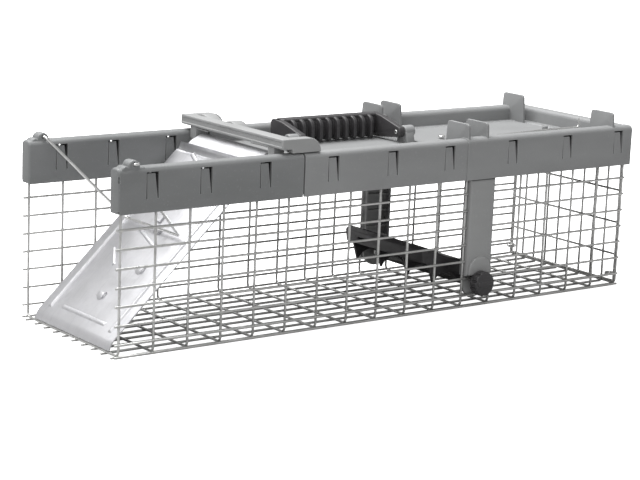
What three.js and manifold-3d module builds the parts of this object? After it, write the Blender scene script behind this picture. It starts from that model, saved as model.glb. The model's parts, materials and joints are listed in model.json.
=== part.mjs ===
// Live catch trap: a welded wire cage under a moulded plastic top frame, with a sloping sheet
// door, a wire lock bail, a treadle that works the set latch, and a fold-down carrying handle.
// Millimetres. +X points to the closed rear end, the door is at -X, +Z is up. The origin is the
// middle of the footprint, on the ground.
import * as THREE from "three";
import { mergeGeometries, mergeVertices } from "three/addons/utils/BufferGeometryUtils.js";
import Module from "manifold-3d";

const wasm = await Module();
wasm.setup();

// ---------------------------------------------------------------- driving dimensions
const GAP = 0.35; // running and assembly gap between separate pieces
const OVERSHOOT = 0.2; // how far a thin cutter passes the faces it cuts
const LAP = 1; // how far one part of a moulding runs into the next
const THROUGH = [-100, 100]; // range of a bore that passes right through its piece

const LONG_PITCH = 25.4; // spacing of the wires that cross the length
const FINE_PITCH = 12.1; // spacing of the wires that run along the length
const CELLS = 17; // long pitches in the cage
const WIRE = 1.8; // wire thickness
const CAGE_X = (CELLS * LONG_PITCH) / 2; // centre of the end wires
const SIDE_Y = 58.6; // centre of a side panel
const FLOOR_Y = 57.3; // edge of the floor panel
const FLOOR_T = 2.4; // floor panel thickness
const FLOOR_WIRES = 10; // lengthwise wires in the floor
const FIRST_ROW_Z = 9.7; // lowest lengthwise wire of a side panel
const SIDE_ROWS = 8; // lengthwise wires in a side panel
const PANEL_TOP = 100; // the panels end inside the rails
const REAR_ROW_Z = 24.2; // spacing of the level wires of the rear panel

const RAIL = { outer: 61.5, inner: 51, wall: 1.5, bottom: 92.5, top: 121.1, nose: 3.4, crown: 3.3 };
const REAR_RAIL = { ...RAIL, outer: 62, top: 121.6 };
const END_X = 219.9; // ends of the top frame
const FRONT_JOINT = -79.7; // joint between front rails and middle cover
const REAR_JOINT = 59.4; // joint between middle cover and rear cover
const JOINT_GAP = 0.6;
const DECK_TOP = 111;
const DECK_T = 1.8;
const TAB = { top: 131.5, half: 1, taper: 1.4, corner: 2.4, y: [35.4, 61.4] };
const TABS = [62, 79, 201]; // x
const REAR_CHANNEL = { front: 209.4, crown: 3.4, round: 5.25, panelWay: 213 };

const SLOT = { width: 9, height: 17, top: 3.2, bar: 1.2, thin: 0.8, wide: 2.3 };
const FRONT_SLOTS = [-195.5, -156, -110.5];
const MIDDLE_SLOTS = [-56, -6, 44];
const REAR_SLOTS = [101.5, 154, 205];

const DOOR_ANGLE = THREE.MathUtils.degToRad(43.5);
const DOOR_FOOT = [-214, 8.5]; // x, z where the lip meets the sloping sheet
const DOOR_LENGTH = 150; // slope length of the full-width sheet
const DOOR_HALF = 47.5;
const NECK_HALF = 40;
const SHEET = 1;
const NECK_END = 156; // slope length at which the neck turns up to the hinge
const NECK_TOP = [-93.4, 119.6]; // x, z
const KNUCKLE_R = 3;
const TAIL = { along: 8.3, down: 8.7, thickness: 2, y: [34, 39] };
const LIP_FOOT = [-216.4, 3.3]; // x, z of the lip's lower edge
const LOUVRES = [[28, -2], [54, -8], [104, 4]]; // slope distance, y
const LOUVRE = { width: 9, mouth: 2.2, reach: 3 };
const HINGE = [-92, 117.2]; // x, z of the door hinge
const HINGE_PIN_R = 1.5;
const HINGE_PIN_HALF = 50;

const YOKE = { front: -97, rear: -87, z0: 124.2, z1: 131.2, wall: 2, ceiling: 128.6 };
const YOKE_ARM = { end: -66, round: 10 };
const YOKE_EAR = { radius: 4, y: [42.5, 49.5] };
const HOUSING = { rear: -80, base: 126, shoulder: 132.4, top: 132.6 };
const HOUSINGS = [[47, 13], [12, 10]]; // middle and half width along y

const BAIL_PIVOT = [-208.5, 123.2];
const BAIL_ARM = 75.3;
const BAIL_TOP_Y = 49.8;
const BAIL_ROD_Y = 33;
const BAIL_END_Y = 60.2;
const BAIL_R = 1;
const BAIL_BEND = 2.5;
const BAIL_BOSS = { radius: 4.4, drop: 1.6 };

const AXLE = [75.5, 18.7]; // x, z of the treadle axle
const AXLE_R = 1.9;
const COLUMN = { x0: 64.8, x1: 87.6, outer: 61.6, wall: 1.4, depth: 7.6, shelf: 24, shelfT: 2 };
const COLUMN_FOOT = { outer: 57.3, thickness: 2.4 };
const COLUMN_TONGUE = { inset: 3, y: [54.2, 55.6], below: 6, above: 12, bridge: 2 };
const KNOB = { radius: 8.8, inner: 62.4, outer: 69.8, socket: 4, step: 2, chamfer: 1.6 };
const KNOB_BAR = { inset: 2.6, half: 1.4, proud: 1.2 };
const TREADLE = { half: 44, sheet: 2.2, barrel: 4.6, web: 1.2, rib: 1 };
const TREADLE_LINE = [[AXLE[0] + 2, 30], [AXLE[0] - 13, 33.5], [38, 42]]; // x, z of the plate
const TREADLE_FLANGE = { x: [39.5, 41.5], z: [33, 41.5] };
const CRANK = 12; // treadle crank arm
const CRANK_ARM = { y: [49.5, 52.5], half: 2.5, hub: 4.2, eye: 3.6 };
const LINK_R = 1.2;
const LINK = { bend: 2, end: 51, y: 56, top: 40.5 }; // the y of its lower end, its rod, its upper end

const HANDLE_PIVOT = [1, 118.2]; // y, z of the handle pins
const HANDLE_X = 5.75; // middle of the handle
const HANDLE_HALF = 45.75;
const GRIP = { y0: 19.5, y1: 34, z0: 111.8, z1: 128.4 };
const FINS = 10;
const FIN_HALF = 1.3;
const HANDLE_ARM = { width: 5, boss: 4, edge: 2 };
const HANDLE_LUG = { radius: 3.6, length: 10, foot: 6 };
const HANDLE_PIN = { inside: 6, outside: 9 };

const LEVER_PIVOT = [50, 101]; // x, z of the latch lever pivot
const LEVER_Y = [40, 43];
const LEVER = { front: -86, half: 3.5, tip: 2.5, hook: 3, hookHeight: 3.2, rear: 4.5, waist: 5 };
const LEVER_PIN_R = 1.5;
const HANGER = { half: 4, thickness: 2.4 };

const SCREW = { x: 89, y: 1, radius: 2.6, height: 1.8 };
const CLIP = { x: [CAGE_X - 4.4, CAGE_X - 1.4], y: [52.4, 56.6], z: [FLOOR_T + 4.5, FLOOR_T + 8] };

// ---------------------------------------------------------------- finishes
function finish(color, roughness, metalness) {
  return { color, roughness, metalness };
}
const GALVANIZED_WIRE = finish(0xb4b4b2, 0.42, 0.8);
const GALVANIZED_SHEET = finish(0xd4d4d7, 0.36, 0.75);
const GREY_PLASTIC = finish(0x707172, 0.55, 0);
const LIGHT_PLASTIC = finish(0x88898a, 0.5, 0);
const DARK_PLASTIC = finish(0x39383a, 0.5, 0);
const BRIGHT_STEEL = finish(0xc0c0c0, 0.3, 0.9);

// ---------------------------------------------------------------- shape helpers
function solidOf(geometry) {
  const bare = geometry.clone();
  bare.deleteAttribute("normal");
  bare.deleteAttribute("uv");
  const merged = mergeVertices(bare, 1e-4);
  const mesh = new wasm.Mesh({
    numProp: 3,
    vertProperties: new Float32Array(merged.attributes.position.array),
    triVerts: new Uint32Array(merged.index.array),
  });
  return new wasm.Manifold(mesh);
}

function geometryOf(solid) {
  const mesh = solid.getMesh();
  const geometry = new THREE.BufferGeometry();
  geometry.setAttribute("position", new THREE.BufferAttribute(mesh.vertProperties, 3));
  geometry.setIndex(new THREE.BufferAttribute(mesh.triVerts, 1));
  const flat = geometry.toNonIndexed();
  flat.computeVertexNormals();
  return flat;
}

function join(...geometries) {
  return geometryOf(geometries.map(solidOf).reduce((sum, next) => sum.add(next)));
}

function cut(geometry, ...tools) {
  return geometryOf(tools.map(solidOf).reduce((sum, next) => sum.subtract(next), solidOf(geometry)));
}

function box([x0, x1], [y0, y1], [z0, z1]) {
  const geometry = new THREE.BoxGeometry(x1 - x0, y1 - y0, z1 - z0);
  return geometry.translate((x0 + x1) / 2, (y0 + y1) / 2, (z0 + z1) / 2);
}

// A cylinder along one axis. `at` holds the other two coordinates, in x, y, z order.
function cylinder(radius, axis, [from, to], at, sides = 20) {
  const geometry = new THREE.CylinderGeometry(radius, radius, to - from, sides);
  const middle = (from + to) / 2;
  if (axis === "x") return geometry.rotateZ(Math.PI / 2).translate(middle, at[0], at[1]);
  if (axis === "y") return geometry.translate(at[0], middle, at[1]);
  return geometry.rotateX(Math.PI / 2).translate(at[0], at[1], middle);
}

function shapeOf(points) {
  return new THREE.Shape(points.map(([u, v]) => new THREE.Vector2(u, v)));
}

// Extrudes a shape drawn in (y, z) from x0 to x1.
function alongX(shape, [x0, x1], curveSegments = 5) {
  const depth = x1 - x0;
  const geometry = new THREE.ExtrudeGeometry(shape, { depth, bevelEnabled: false, curveSegments });
  const turn = new THREE.Matrix4().makeBasis(
    new THREE.Vector3(0, 1, 0),
    new THREE.Vector3(0, 0, 1),
    new THREE.Vector3(1, 0, 0),
  );
  return geometry.applyMatrix4(turn).translate(x0, 0, 0);
}

// Extrudes a shape drawn in (x, z) from y0 to y1.
function alongY(shape, [y0, y1], curveSegments = 5) {
  const depth = y1 - y0;
  const geometry = new THREE.ExtrudeGeometry(shape, { depth, bevelEnabled: false, curveSegments });
  return geometry.rotateX(Math.PI / 2).translate(0, y1, 0);
}

// Extrudes a shape drawn in (x, y) from z0 to z1.
function alongZ(shape, [z0, z1], curveSegments = 5) {
  const depth = z1 - z0;
  const geometry = new THREE.ExtrudeGeometry(shape, { depth, bevelEnabled: false, curveSegments });
  return geometry.translate(0, 0, z0);
}

// The range [low, high] of |y| on one side of the trap: side is -1 (near) or +1 (far).
function sideRange(side, low, high) {
  return side > 0 ? [low, high] : [-high, -low];
}

// The range of x between two distances from the handle's middle, at its front (-1) or rear (+1).
function handleRange(end, low, high) {
  return sideRange(end, low, high).map((x) => x + HANDLE_X);
}

// A round wire through a list of points, with its corners rounded by quadratic curves.
function roundWire(points, radius, bend, steps, sides = 6) {
  const path = new THREE.CurvePath();
  const at = points.map((p) => new THREE.Vector3(...p));
  let from = at[0];
  for (let i = 1; i < at.length - 1; i += 1) {
    const before = at[i].clone().lerp(at[i - 1], bend / at[i].distanceTo(at[i - 1]));
    const after = at[i].clone().lerp(at[i + 1], bend / at[i].distanceTo(at[i + 1]));
    path.add(new THREE.LineCurve3(from, before));
    path.add(new THREE.QuadraticBezierCurve3(before, at[i], after));
    from = after;
  }
  path.add(new THREE.LineCurve3(from, at[at.length - 1]));
  const section = new THREE.Shape();
  section.absarc(0, 0, radius, 0, 2 * Math.PI, false);
  return new THREE.ExtrudeGeometry(section, {
    steps,
    curveSegments: sides / 2,
    extrudePath: path,
    bevelEnabled: false,
  });
}

// ---------------------------------------------------------------- wire panels
// A flat panel of crossing wires: a plate with one rectangular hole for each open cell. The wires
// lie at the given centres. `plate` makes a box from two ranges and an overshoot through the faces.
function lattice(plate, [u, v], columns, rows, isOpen = () => true) {
  const half = WIRE / 2;
  const holes = [];
  for (let i = 0; i + 1 < columns.length; i += 1) {
    for (let j = 0; j + 1 < rows.length; j += 1) {
      if (!isOpen(i, j)) continue;
      const across = [columns[i] + half, columns[i + 1] - half];
      holes.push(plate(across, [rows[j] + half, rows[j + 1] - half], 1));
    }
  }
  return cut(plate(u, v, 0), mergeGeometries(holes));
}

function evenly(count, from, pitch) {
  return Array.from({ length: count }, (_, i) => from + i * pitch);
}

const CROSS_WIRES = evenly(CELLS + 1, -CAGE_X, LONG_PITCH);
const COLUMN_CELL = CROSS_WIRES.findIndex((x) => x > COLUMN.x0) - 1;

function floorPanel() {
  const wires = evenly(FLOOR_WIRES, (-(FLOOR_WIRES - 1) / 2) * FINE_PITCH, FINE_PITCH);
  const edge = CAGE_X + WIRE / 2;
  const plate = (u, v, over) => box(u, v, [-over, FLOOR_T + over]);
  return lattice(plate, [[-edge, edge], [-FLOOR_Y, FLOOR_Y]], CROSS_WIRES, wires);
}

// The lengthwise wires above the axle stop at the column, which stands between two uprights.
function sidePanel(side) {
  const rows = [WIRE / 2, ...evenly(SIDE_ROWS, FIRST_ROW_Z, FINE_PITCH)];
  const edge = CAGE_X + WIRE / 2;
  const plate = (u, v, over) => {
    return box(u, sideRange(side, SIDE_Y - WIRE / 2 - over, SIDE_Y + WIRE / 2 + over), v);
  };
  const free = (i, j) => i !== COLUMN_CELL || j < 2;
  const panel = lattice(plate, [[-edge, edge], [0, PANEL_TOP]], CROSS_WIRES, rows, free);
  const across = [CROSS_WIRES[COLUMN_CELL] + WIRE / 2, CROSS_WIRES[COLUMN_CELL + 1] - WIRE / 2];
  return cut(panel, plate(across, [rows[2] + WIRE / 2, PANEL_TOP - WIRE], 1));
}

function rearPanel() {
  const edge = FLOOR_Y - WIRE / 2;
  const cells = FLOOR_WIRES - 1;
  const uprights = evenly(cells + 1, -edge, (2 * edge) / cells);
  const foot = FLOOR_T + GAP;
  const levels = [foot + WIRE / 2, ...evenly(3, REAR_ROW_Z, REAR_ROW_Z), PANEL_TOP - WIRE];
  const plate = (u, v, over) => box([CAGE_X - 1 - over, CAGE_X - 1 + WIRE + over], u, v);
  return lattice(plate, [[-FLOOR_Y, FLOOR_Y], [foot, PANEL_TOP]], uprights, levels);
}

// ---------------------------------------------------------------- top frame
// Half of the inverted channel section in (y, z), drawn for the far side, with a rounded top.
function channelShape({ outer, inner, wall, bottom, top, nose, crown }) {
  const shape = new THREE.Shape();
  shape.moveTo(outer, bottom);
  shape.lineTo(outer, top - nose);
  shape.absarc(outer - nose, top - nose, nose, 0, Math.PI / 2, false);
  shape.absarc(inner + nose, top - nose, nose, Math.PI / 2, Math.PI, false);
  shape.lineTo(inner, bottom);
  shape.lineTo(inner + wall, bottom);
  shape.lineTo(inner + wall, top - crown);
  shape.lineTo(outer - wall, top - crown);
  shape.lineTo(outer - wall, bottom);
  return shape;
}

function channel(rail, side, range) {
  const geometry = alongX(channelShape(rail), range);
  if (side > 0) return geometry;
  return geometryOf(solidOf(geometry).mirror([0, 1, 0]));
}

// The cut round three sides of a snap tongue, through one wall of a rail.
function tongueCut(rail, side, x, wallInner) {
  const { width, height, top, bar, thin, wide } = SLOT;
  const [left, right] = [x - width / 2, x + width / 2];
  const z1 = rail.top - top;
  const z0 = z1 - height;
  const shape = shapeOf([
    [left, z0],
    [left + thin, z0],
    [left + thin, z1 - bar],
    [right - wide, z1 - bar],
    [right - thin, z0],
    [right, z0],
    [right, z1],
    [left, z1],
  ]);
  return alongY(shape, sideRange(side, wallInner - OVERSHOOT, wallInner + rail.wall + OVERSHOOT));
}

function tongueCuts(rail, side, places, onInnerWall = false) {
  const wallInner = onInnerWall ? rail.inner : rail.outer - rail.wall;
  return places.map((x) => tongueCut(rail, side, x, wallInner));
}

function frontRail(side) {
  const range = [-END_X, FRONT_JOINT - JOINT_GAP / 2];
  const across = sideRange(side, RAIL.inner + LAP / 2, RAIL.outer - LAP / 2);
  const endWall = box([-END_X, -END_X + RAIL.wall], across, [RAIL.bottom + 2 * LAP, RAIL.top - 2 * LAP]);
  const bossRange = sideRange(side, RAIL.inner + 2 * LAP, RAIL.outer - LAP / 2);
  const bossAt = [BAIL_PIVOT[0], BAIL_PIVOT[1] - BAIL_BOSS.drop];
  const boss = cylinder(BAIL_BOSS.radius, "y", bossRange, bossAt);
  const bore = cylinder(BAIL_R + GAP, "y", THROUGH, BAIL_PIVOT, 16);
  const body = join(channel(RAIL, side, range), endWall, boss);
  return cut(
    body,
    bore,
    ...tongueCuts(RAIL, side, FRONT_SLOTS),
    ...tongueCuts(RAIL, side, FRONT_SLOTS, true),
  );
}

function deck(range) {
  return box(range, [-RAIL.inner - LAP, RAIL.inner + LAP], [DECK_TOP - DECK_T, DECK_TOP]);
}

function handleLug(end) {
  const [y, z] = HANDLE_PIVOT;
  const { radius, length, foot } = HANDLE_LUG;
  const near = HANDLE_HALF + GAP;
  const range = handleRange(end, near, near + length);
  const post = box(handleRange(end, near, near + foot), [y - radius, y + radius], [DECK_TOP - LAP, z]);
  const bore = cylinder(HINGE_PIN_R + GAP, "x", [range[0] - LAP, range[1] + LAP], HANDLE_PIVOT, 12);
  return cut(join(post, cylinder(radius, "x", range, HANDLE_PIVOT)), bore);
}

function leverBracket() {
  const [x, z] = LEVER_PIVOT;
  const { half, thickness } = HANGER;
  const hang = [LEVER_Y[1] + GAP, LEVER_Y[1] + GAP + thickness];
  const pin = cylinder(LEVER_PIN_R, "y", [LEVER_Y[0] - LAP, hang[0] + LAP], LEVER_PIVOT, 12);
  return join(box([x - half, x + half], hang, [z - half, DECK_TOP - LAP]), pin);
}

function middleCover() {
  const range = [FRONT_JOINT + JOINT_GAP / 2, REAR_JOINT - JOINT_GAP / 2];
  const body = join(
    channel(RAIL, -1, range),
    channel(RAIL, 1, range),
    deck(range),
    handleLug(-1),
    handleLug(1),
    leverBracket(),
  );
  const cuts = [-1, 1].flatMap((side) => tongueCuts(RAIL, side, MIDDLE_SLOTS));
  return cut(body, ...cuts);
}

// An upright tapered tab across a rear rail and the edge of the deck, with rounded upper corners.
function tab(x, side) {
  const { top, half, taper, corner } = TAB;
  const [y0, y1] = sideRange(side, ...TAB.y);
  const [u0, u1] = [y0 + taper, y1 - taper];
  const shape = new THREE.Shape();
  shape.moveTo(y0, DECK_TOP - LAP);
  shape.lineTo(y1, DECK_TOP - LAP);
  shape.lineTo(u1, top - corner);
  shape.quadraticCurveTo(u1, top, u1 - corner, top);
  shape.lineTo(u0 + corner, top);
  shape.quadraticCurveTo(u0, top, u0, top - corner);
  return alongX(shape, [x - half, x + half], 3);
}

function rearCover() {
  const range = [REAR_JOINT + JOINT_GAP / 2, END_X];
  const { wall, bottom, top, outer } = REAR_RAIL;
  const { front, crown, round, panelWay } = REAR_CHANNEL;
  const across = [LAP - outer, outer - LAP];
  const past = [-outer - LAP, outer + LAP];
  const endWall = box([END_X - wall, END_X], across, [bottom, top - 2 * LAP]);
  const endInner = box([front, front + wall], across, [DECK_TOP - LAP, top - 2 * LAP]);
  const endTop = box([front, END_X], across, [top - crown, top]);
  const topOfEnd = box([front - LAP / 2, END_X + LAP], past, [top - 2 * LAP, top + LAP]);
  const roller = cylinder(round, "y", past, [(front + END_X) / 2, top - round], 40);
  const nosed = cut(endTop, cut(topOfEnd, roller));
  const tabs = [-1, 1].flatMap((side) => TABS.map((x) => tab(x, side)));
  const rails = [-1, 1].map((side) => channel(REAR_RAIL, side, range));
  const body = join(...rails, deck([range[0], front + LAP / 2]), endWall, endInner, nosed, ...tabs);
  const wayAcross = [-SIDE_Y - WIRE, SIDE_Y + WIRE];
  const wayForPanel = box([panelWay, END_X - wall], wayAcross, [bottom - LAP, PANEL_TOP + LAP]);
  const cuts = [-1, 1].flatMap((side) => tongueCuts(REAR_RAIL, side, REAR_SLOTS));
  const linkX = AXLE[0] + CRANK;
  const linkSide = [RAIL.inner - LAP, RAIL.inner + 2 * RAIL.wall];
  const wayForLink = box([linkX - 3, linkX + 3], linkSide, [bottom - LAP, DECK_TOP - 5]);
  return cut(body, wayForPanel, wayForLink, ...cuts);
}

// The crossbar over the door hinge: a front bar, two arms that rest on the rails, two ears that
// carry the hinge pin, and two rounded housings behind the bar.
function yoke() {
  const { front, rear, z0, z1, wall, ceiling } = YOKE;
  const [x, z] = HINGE;
  const reach = RAIL.outer - LAP;
  const bar = box([front, rear], [-reach, reach], [z0, z1]);
  const inside = YOKE_EAR.y[0];
  const hollow = box([front + wall, rear + LAP], [-inside, inside], [z0 - LAP, ceiling]);
  const parts = [cut(bar, hollow)];
  for (const side of [-1, 1]) {
    const arm = new THREE.Shape();
    arm.moveTo(rear - LAP, RAIL.top + GAP);
    arm.lineTo(YOKE_ARM.end, RAIL.top + GAP);
    arm.quadraticCurveTo(YOKE_ARM.end, z1, YOKE_ARM.end - YOKE_ARM.round, z1);
    arm.lineTo(rear - LAP, z1);
    parts.push(alongY(arm, sideRange(side, RAIL.inner + 2 * LAP, reach), 6));
    const ear = new THREE.Shape();
    ear.moveTo(x - YOKE_EAR.radius, z0 + LAP);
    ear.lineTo(x - YOKE_EAR.radius, z);
    ear.absarc(x, z, YOKE_EAR.radius, Math.PI, 2 * Math.PI, false);
    ear.lineTo(x + YOKE_EAR.radius, z0 + LAP);
    const bore = cylinder(HINGE_PIN_R + GAP, "y", THROUGH, HINGE, 12);
    parts.push(cut(alongY(ear, sideRange(side, ...YOKE_EAR.y), 5), bore));
  }
  for (const [y, half] of HOUSINGS) {
    const { base, shoulder, top } = HOUSING;
    const hump = new THREE.Shape();
    hump.moveTo(y - half, base);
    hump.lineTo(y + half, base);
    hump.quadraticCurveTo(y + half * 0.8, shoulder, y, top);
    hump.quadraticCurveTo(y - half * 0.8, shoulder, y - half, base);
    parts.push(alongX(hump, [rear - LAP, HOUSING.rear], 4));
  }
  return join(...parts);
}

function hingePin() {
  return cylinder(HINGE_PIN_R, "y", [-HINGE_PIN_HALF, HINGE_PIN_HALF], HINGE, 16);
}

// ---------------------------------------------------------------- door and lock bail
function alongDoor(distance, lift = 0) {
  const [c, s] = [Math.cos(DOOR_ANGLE), Math.sin(DOOR_ANGLE)];
  return [DOOR_FOOT[0] + distance * c - lift * s, DOOR_FOOT[1] + distance * s + lift * c];
}

// Thickens an open polyline in a plane into a closed strip of constant thickness.
function strip(points, thickness) {
  const half = thickness / 2;
  const at = points.map(([u, v]) => new THREE.Vector2(u, v));
  const normals = at.slice(1).map((p, i) => {
    const run = p.clone().sub(at[i]).normalize();
    return new THREE.Vector2(-run.y, run.x);
  });
  const offsets = at.map((_, i) => {
    const a = normals[Math.max(i - 1, 0)];
    const b = normals[Math.min(i, normals.length - 1)];
    const mean = a.clone().add(b).normalize();
    return mean.multiplyScalar(half / mean.dot(a));
  });
  const left = at.map((p, i) => p.clone().add(offsets[i]).toArray());
  const right = at.map((p, i) => p.clone().sub(offsets[i]).toArray());
  return shapeOf([...left, ...right.reverse()]);
}

function doorPanel() {
  const full = strip([LIP_FOOT, DOOR_FOOT, alongDoor(DOOR_LENGTH)], SHEET);
  const neck = strip([alongDoor(DOOR_LENGTH - LAP), alongDoor(NECK_END), NECK_TOP], SHEET);
  const knuckle = cylinder(KNUCKLE_R, "y", [-NECK_HALF, NECK_HALF], HINGE);
  const tail = strip([HINGE, [HINGE[0] + TAIL.along, HINGE[1] - TAIL.down]], TAIL.thickness);
  const body = join(
    alongY(full, [-DOOR_HALF, DOOR_HALF]),
    alongY(neck, [-NECK_HALF, NECK_HALF]),
    knuckle,
    alongY(tail, TAIL.y),
  );
  const { width, mouth, reach } = LOUVRE;
  const louvres = LOUVRES.map(([distance, y]) => {
    const far = distance + mouth;
    const inner = [alongDoor(distance, -reach), alongDoor(far, -reach)];
    const outer = [alongDoor(far, reach), alongDoor(distance, reach)];
    return alongY(shapeOf([...inner, ...outer]), [y - width / 2, y + width / 2]);
  });
  return cut(body, cylinder(HINGE_PIN_R + GAP, "y", THROUGH, HINGE, 16), ...louvres);
}

function lockBail() {
  const [px, pz] = BAIL_PIVOT;
  const rodX = px + BAIL_ARM * Math.sin(DOOR_ANGLE);
  const rodZ = pz - BAIL_ARM * Math.cos(DOOR_ANGLE);
  const half = [[px, BAIL_END_Y, pz], [px, BAIL_TOP_Y, pz], [rodX, BAIL_ROD_Y, rodZ]];
  const other = half.map(([x, y, z]) => [x, -y, z]).reverse();
  return roundWire([...half, ...other], BAIL_R, BAIL_BEND, 60);
}

// ---------------------------------------------------------------- carrying handle
function handle() {
  const [py, pz] = HANDLE_PIVOT;
  const { y0, y1, z0, z1 } = GRIP;
  const { width, boss, edge } = HANDLE_ARM;
  const parts = [];
  for (const end of [-1, 1]) {
    const arm = new THREE.Shape();
    arm.moveTo(py, pz - boss);
    arm.lineTo(y0 + edge, z0);
    arm.lineTo(y1, z0);
    arm.lineTo(y1, z1 - edge);
    arm.lineTo(y1 - edge, z1);
    arm.lineTo(y0 + edge, z1);
    arm.lineTo(py, pz + boss);
    arm.absarc(py, pz, boss, Math.PI / 2, (3 * Math.PI) / 2, false);
    parts.push(alongX(arm, handleRange(end, HANDLE_HALF - width, HANDLE_HALF), 6));
  }
  const inner = HANDLE_HALF - width + LAP / 2;
  const length = [HANDLE_X - inner, HANDLE_X + inner];
  const core = box(length, [y0 + 5, y1 - 1.5], [z0 + 1.5, z1 - 2]);
  const spine = box(length, [y0 + 3, y1], [z1 - 3, z1]);
  const pitch = (2 * inner) / (FINS + 1);
  for (let i = 1; i <= FINS; i += 1) {
    const x = length[0] + i * pitch;
    parts.push(box([x - FIN_HALF, x + FIN_HALF], [y0, y1], [z0, z1 - 0.4]));
  }
  const bore = cylinder(HINGE_PIN_R + GAP, "x", THROUGH, HANDLE_PIVOT, 12);
  return cut(join(core, spine, ...parts), bore);
}

// ---------------------------------------------------------------- treadle and set latch
function column(side) {
  const { x0, x1, outer, wall, depth, shelf, shelfT } = COLUMN;
  const { inset, y, below, above, bridge } = COLUMN_TONGUE;
  const top = RAIL.bottom - GAP;
  const [x, z] = AXLE;
  const flank = sideRange(side, outer - depth, outer - wall / 2);
  const bridgeLevels = [top - below, top - below + bridge];
  const parts = [
    box([x0, x1], sideRange(side, outer - wall, outer), [shelf, top]),
    box([x0, x0 + wall], flank, [shelf, top]),
    box([x1 - wall, x1], flank, [shelf, top]),
    box([x0, x1], sideRange(side, outer - depth, outer), [shelf, shelf + shelfT]),
    box([x0 + inset, x1 - inset], sideRange(side, ...y), [top - below, RAIL.bottom + above]),
    box([x0 + LAP, x1 - LAP], sideRange(side, y[0], outer - wall / 2), bridgeLevels),
  ];
  const footShape = new THREE.Shape();
  footShape.moveTo(x0, shelf + LAP);
  footShape.lineTo(x0, z);
  footShape.absarc((x0 + x1) / 2, z, (x1 - x0) / 2, Math.PI, 2 * Math.PI, false);
  footShape.lineTo(x1, shelf + LAP);
  const { outer: footY, thickness } = COLUMN_FOOT;
  const plate = alongY(footShape, sideRange(side, footY - thickness, footY), 8);
  const bore = cylinder(AXLE_R + GAP, "y", THROUGH, AXLE, 16);
  const rodWay = cylinder(LINK_R + GAP, "z", [0, DECK_TOP], [x + CRANK, side * LINK.y], 12);
  return cut(join(...parts, plate), bore, ...(side > 0 ? [rodWay] : []));
}

function axle() {
  const end = KNOB.inner + KNOB.socket;
  return cylinder(AXLE_R, "y", [-end, end], AXLE);
}

function knob(side) {
  const { radius, inner, outer, socket, step, chamfer } = KNOB;
  const { inset, half, proud } = KNOB_BAR;
  const [x, z] = AXLE;
  const body = cylinder(radius, "y", sideRange(side, inner, outer - chamfer), AXLE, 24);
  const face = cylinder(radius - step, "y", sideRange(side, inner, outer), AXLE, 24);
  const gripLength = [x - radius + inset, x + radius - inset];
  const grip = box(gripLength, sideRange(side, inner + step, outer + proud), [z - half, z + half]);
  const bore = cylinder(AXLE_R + GAP, "y", sideRange(side, inner - LAP, inner + socket + GAP), AXLE, 16);
  return cut(join(body, face, grip), bore);
}

// The treadle: a sloping plate on deep arched ribs, with a raised back edge over its axle.
function treadle() {
  const [x, z] = AXLE;
  const { half, sheet, barrel, web, rib: ribHalf } = TREADLE;
  const across = [-half, half];
  const parts = [
    alongY(strip(TREADLE_LINE, sheet), across),
    cylinder(barrel, "y", across, AXLE),
    box([x - web, x + web], across, [z + 2 * LAP, TREADLE_LINE[0][1] + LAP]),
    box(TREADLE_FLANGE.x, across, TREADLE_FLANGE.z),
  ];
  for (const y of [ribHalf - half, -15, 15, half - ribHalf]) {
    const rib = new THREE.Shape();
    rib.moveTo(38.5, 41);
    rib.lineTo(45, 31);
    rib.lineTo(50, 16);
    rib.quadraticCurveTo(61, 26, 70, 15.5);
    rib.lineTo(x, z - 4);
    rib.lineTo(x + 2, 29);
    rib.lineTo(x - 13, 33);
    parts.push(alongY(rib, [y - ribHalf, y + ribHalf], 5));
  }
  return cut(join(...parts), cylinder(AXLE_R + GAP, "y", THROUGH, AXLE, 16));
}

// The crank that lifts the link rod when the treadle goes down.
function crankArm() {
  const [x, z] = AXLE;
  const { y, half } = CRANK_ARM;
  const pin = [x + CRANK, z];
  const plate = box([x, x + CRANK], y, [z - half, z + half]);
  const hub = cylinder(CRANK_ARM.hub, "y", y, AXLE);
  const eye = cylinder(CRANK_ARM.eye, "y", y, pin, 16);
  const bore = cylinder(AXLE_R + GAP, "y", THROUGH, AXLE, 16);
  return cut(join(plate, hub, eye), bore, cylinder(LINK_R + GAP, "y", THROUGH, pin, 12));
}

// A wire link that stands in the far column between the crank and the latch lever.
function linkRod() {
  const x = AXLE[0] + CRANK;
  const hook = [x, LINK.end, AXLE[1]];
  const foot = [x, LINK.y, AXLE[1]];
  const top = [x, LINK.y, LEVER_PIVOT[1]];
  return roundWire([hook, foot, top, [x, LINK.top, LEVER_PIVOT[1]]], LINK_R, LINK.bend, 36);
}

// The lever under the deck. Its front hook stands ready behind the tail of the open door.
function latchLever() {
  const [x, z] = LEVER_PIVOT;
  const { front, half, tip, hook, hookHeight, waist } = LEVER;
  const rear = AXLE[0] + CRANK + LEVER.rear;
  const shape = new THREE.Shape();
  shape.moveTo(front, z - tip);
  shape.lineTo(x - waist, z - half);
  shape.lineTo(rear, z - half);
  shape.lineTo(rear, z + half);
  shape.lineTo(x - waist, z + half);
  shape.lineTo(front + hook + LAP, z + LAP);
  shape.lineTo(front + hook, z + hookHeight);
  shape.lineTo(front, z + hookHeight);
  const bore = cylinder(LEVER_PIN_R + GAP, "y", THROUGH, LEVER_PIVOT, 12);
  const eye = cylinder(LINK_R + GAP, "y", THROUGH, [AXLE[0] + CRANK, z], 12);
  return cut(alongY(shape, LEVER_Y, 4), bore, eye);
}

// ---------------------------------------------------------------- fasteners and small wire
function trayScrews() {
  const z = DECK_TOP + GAP;
  return cylinder(SCREW.radius, "z", [z, z + SCREW.height], [SCREW.x, SCREW.y], 16);
}

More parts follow.
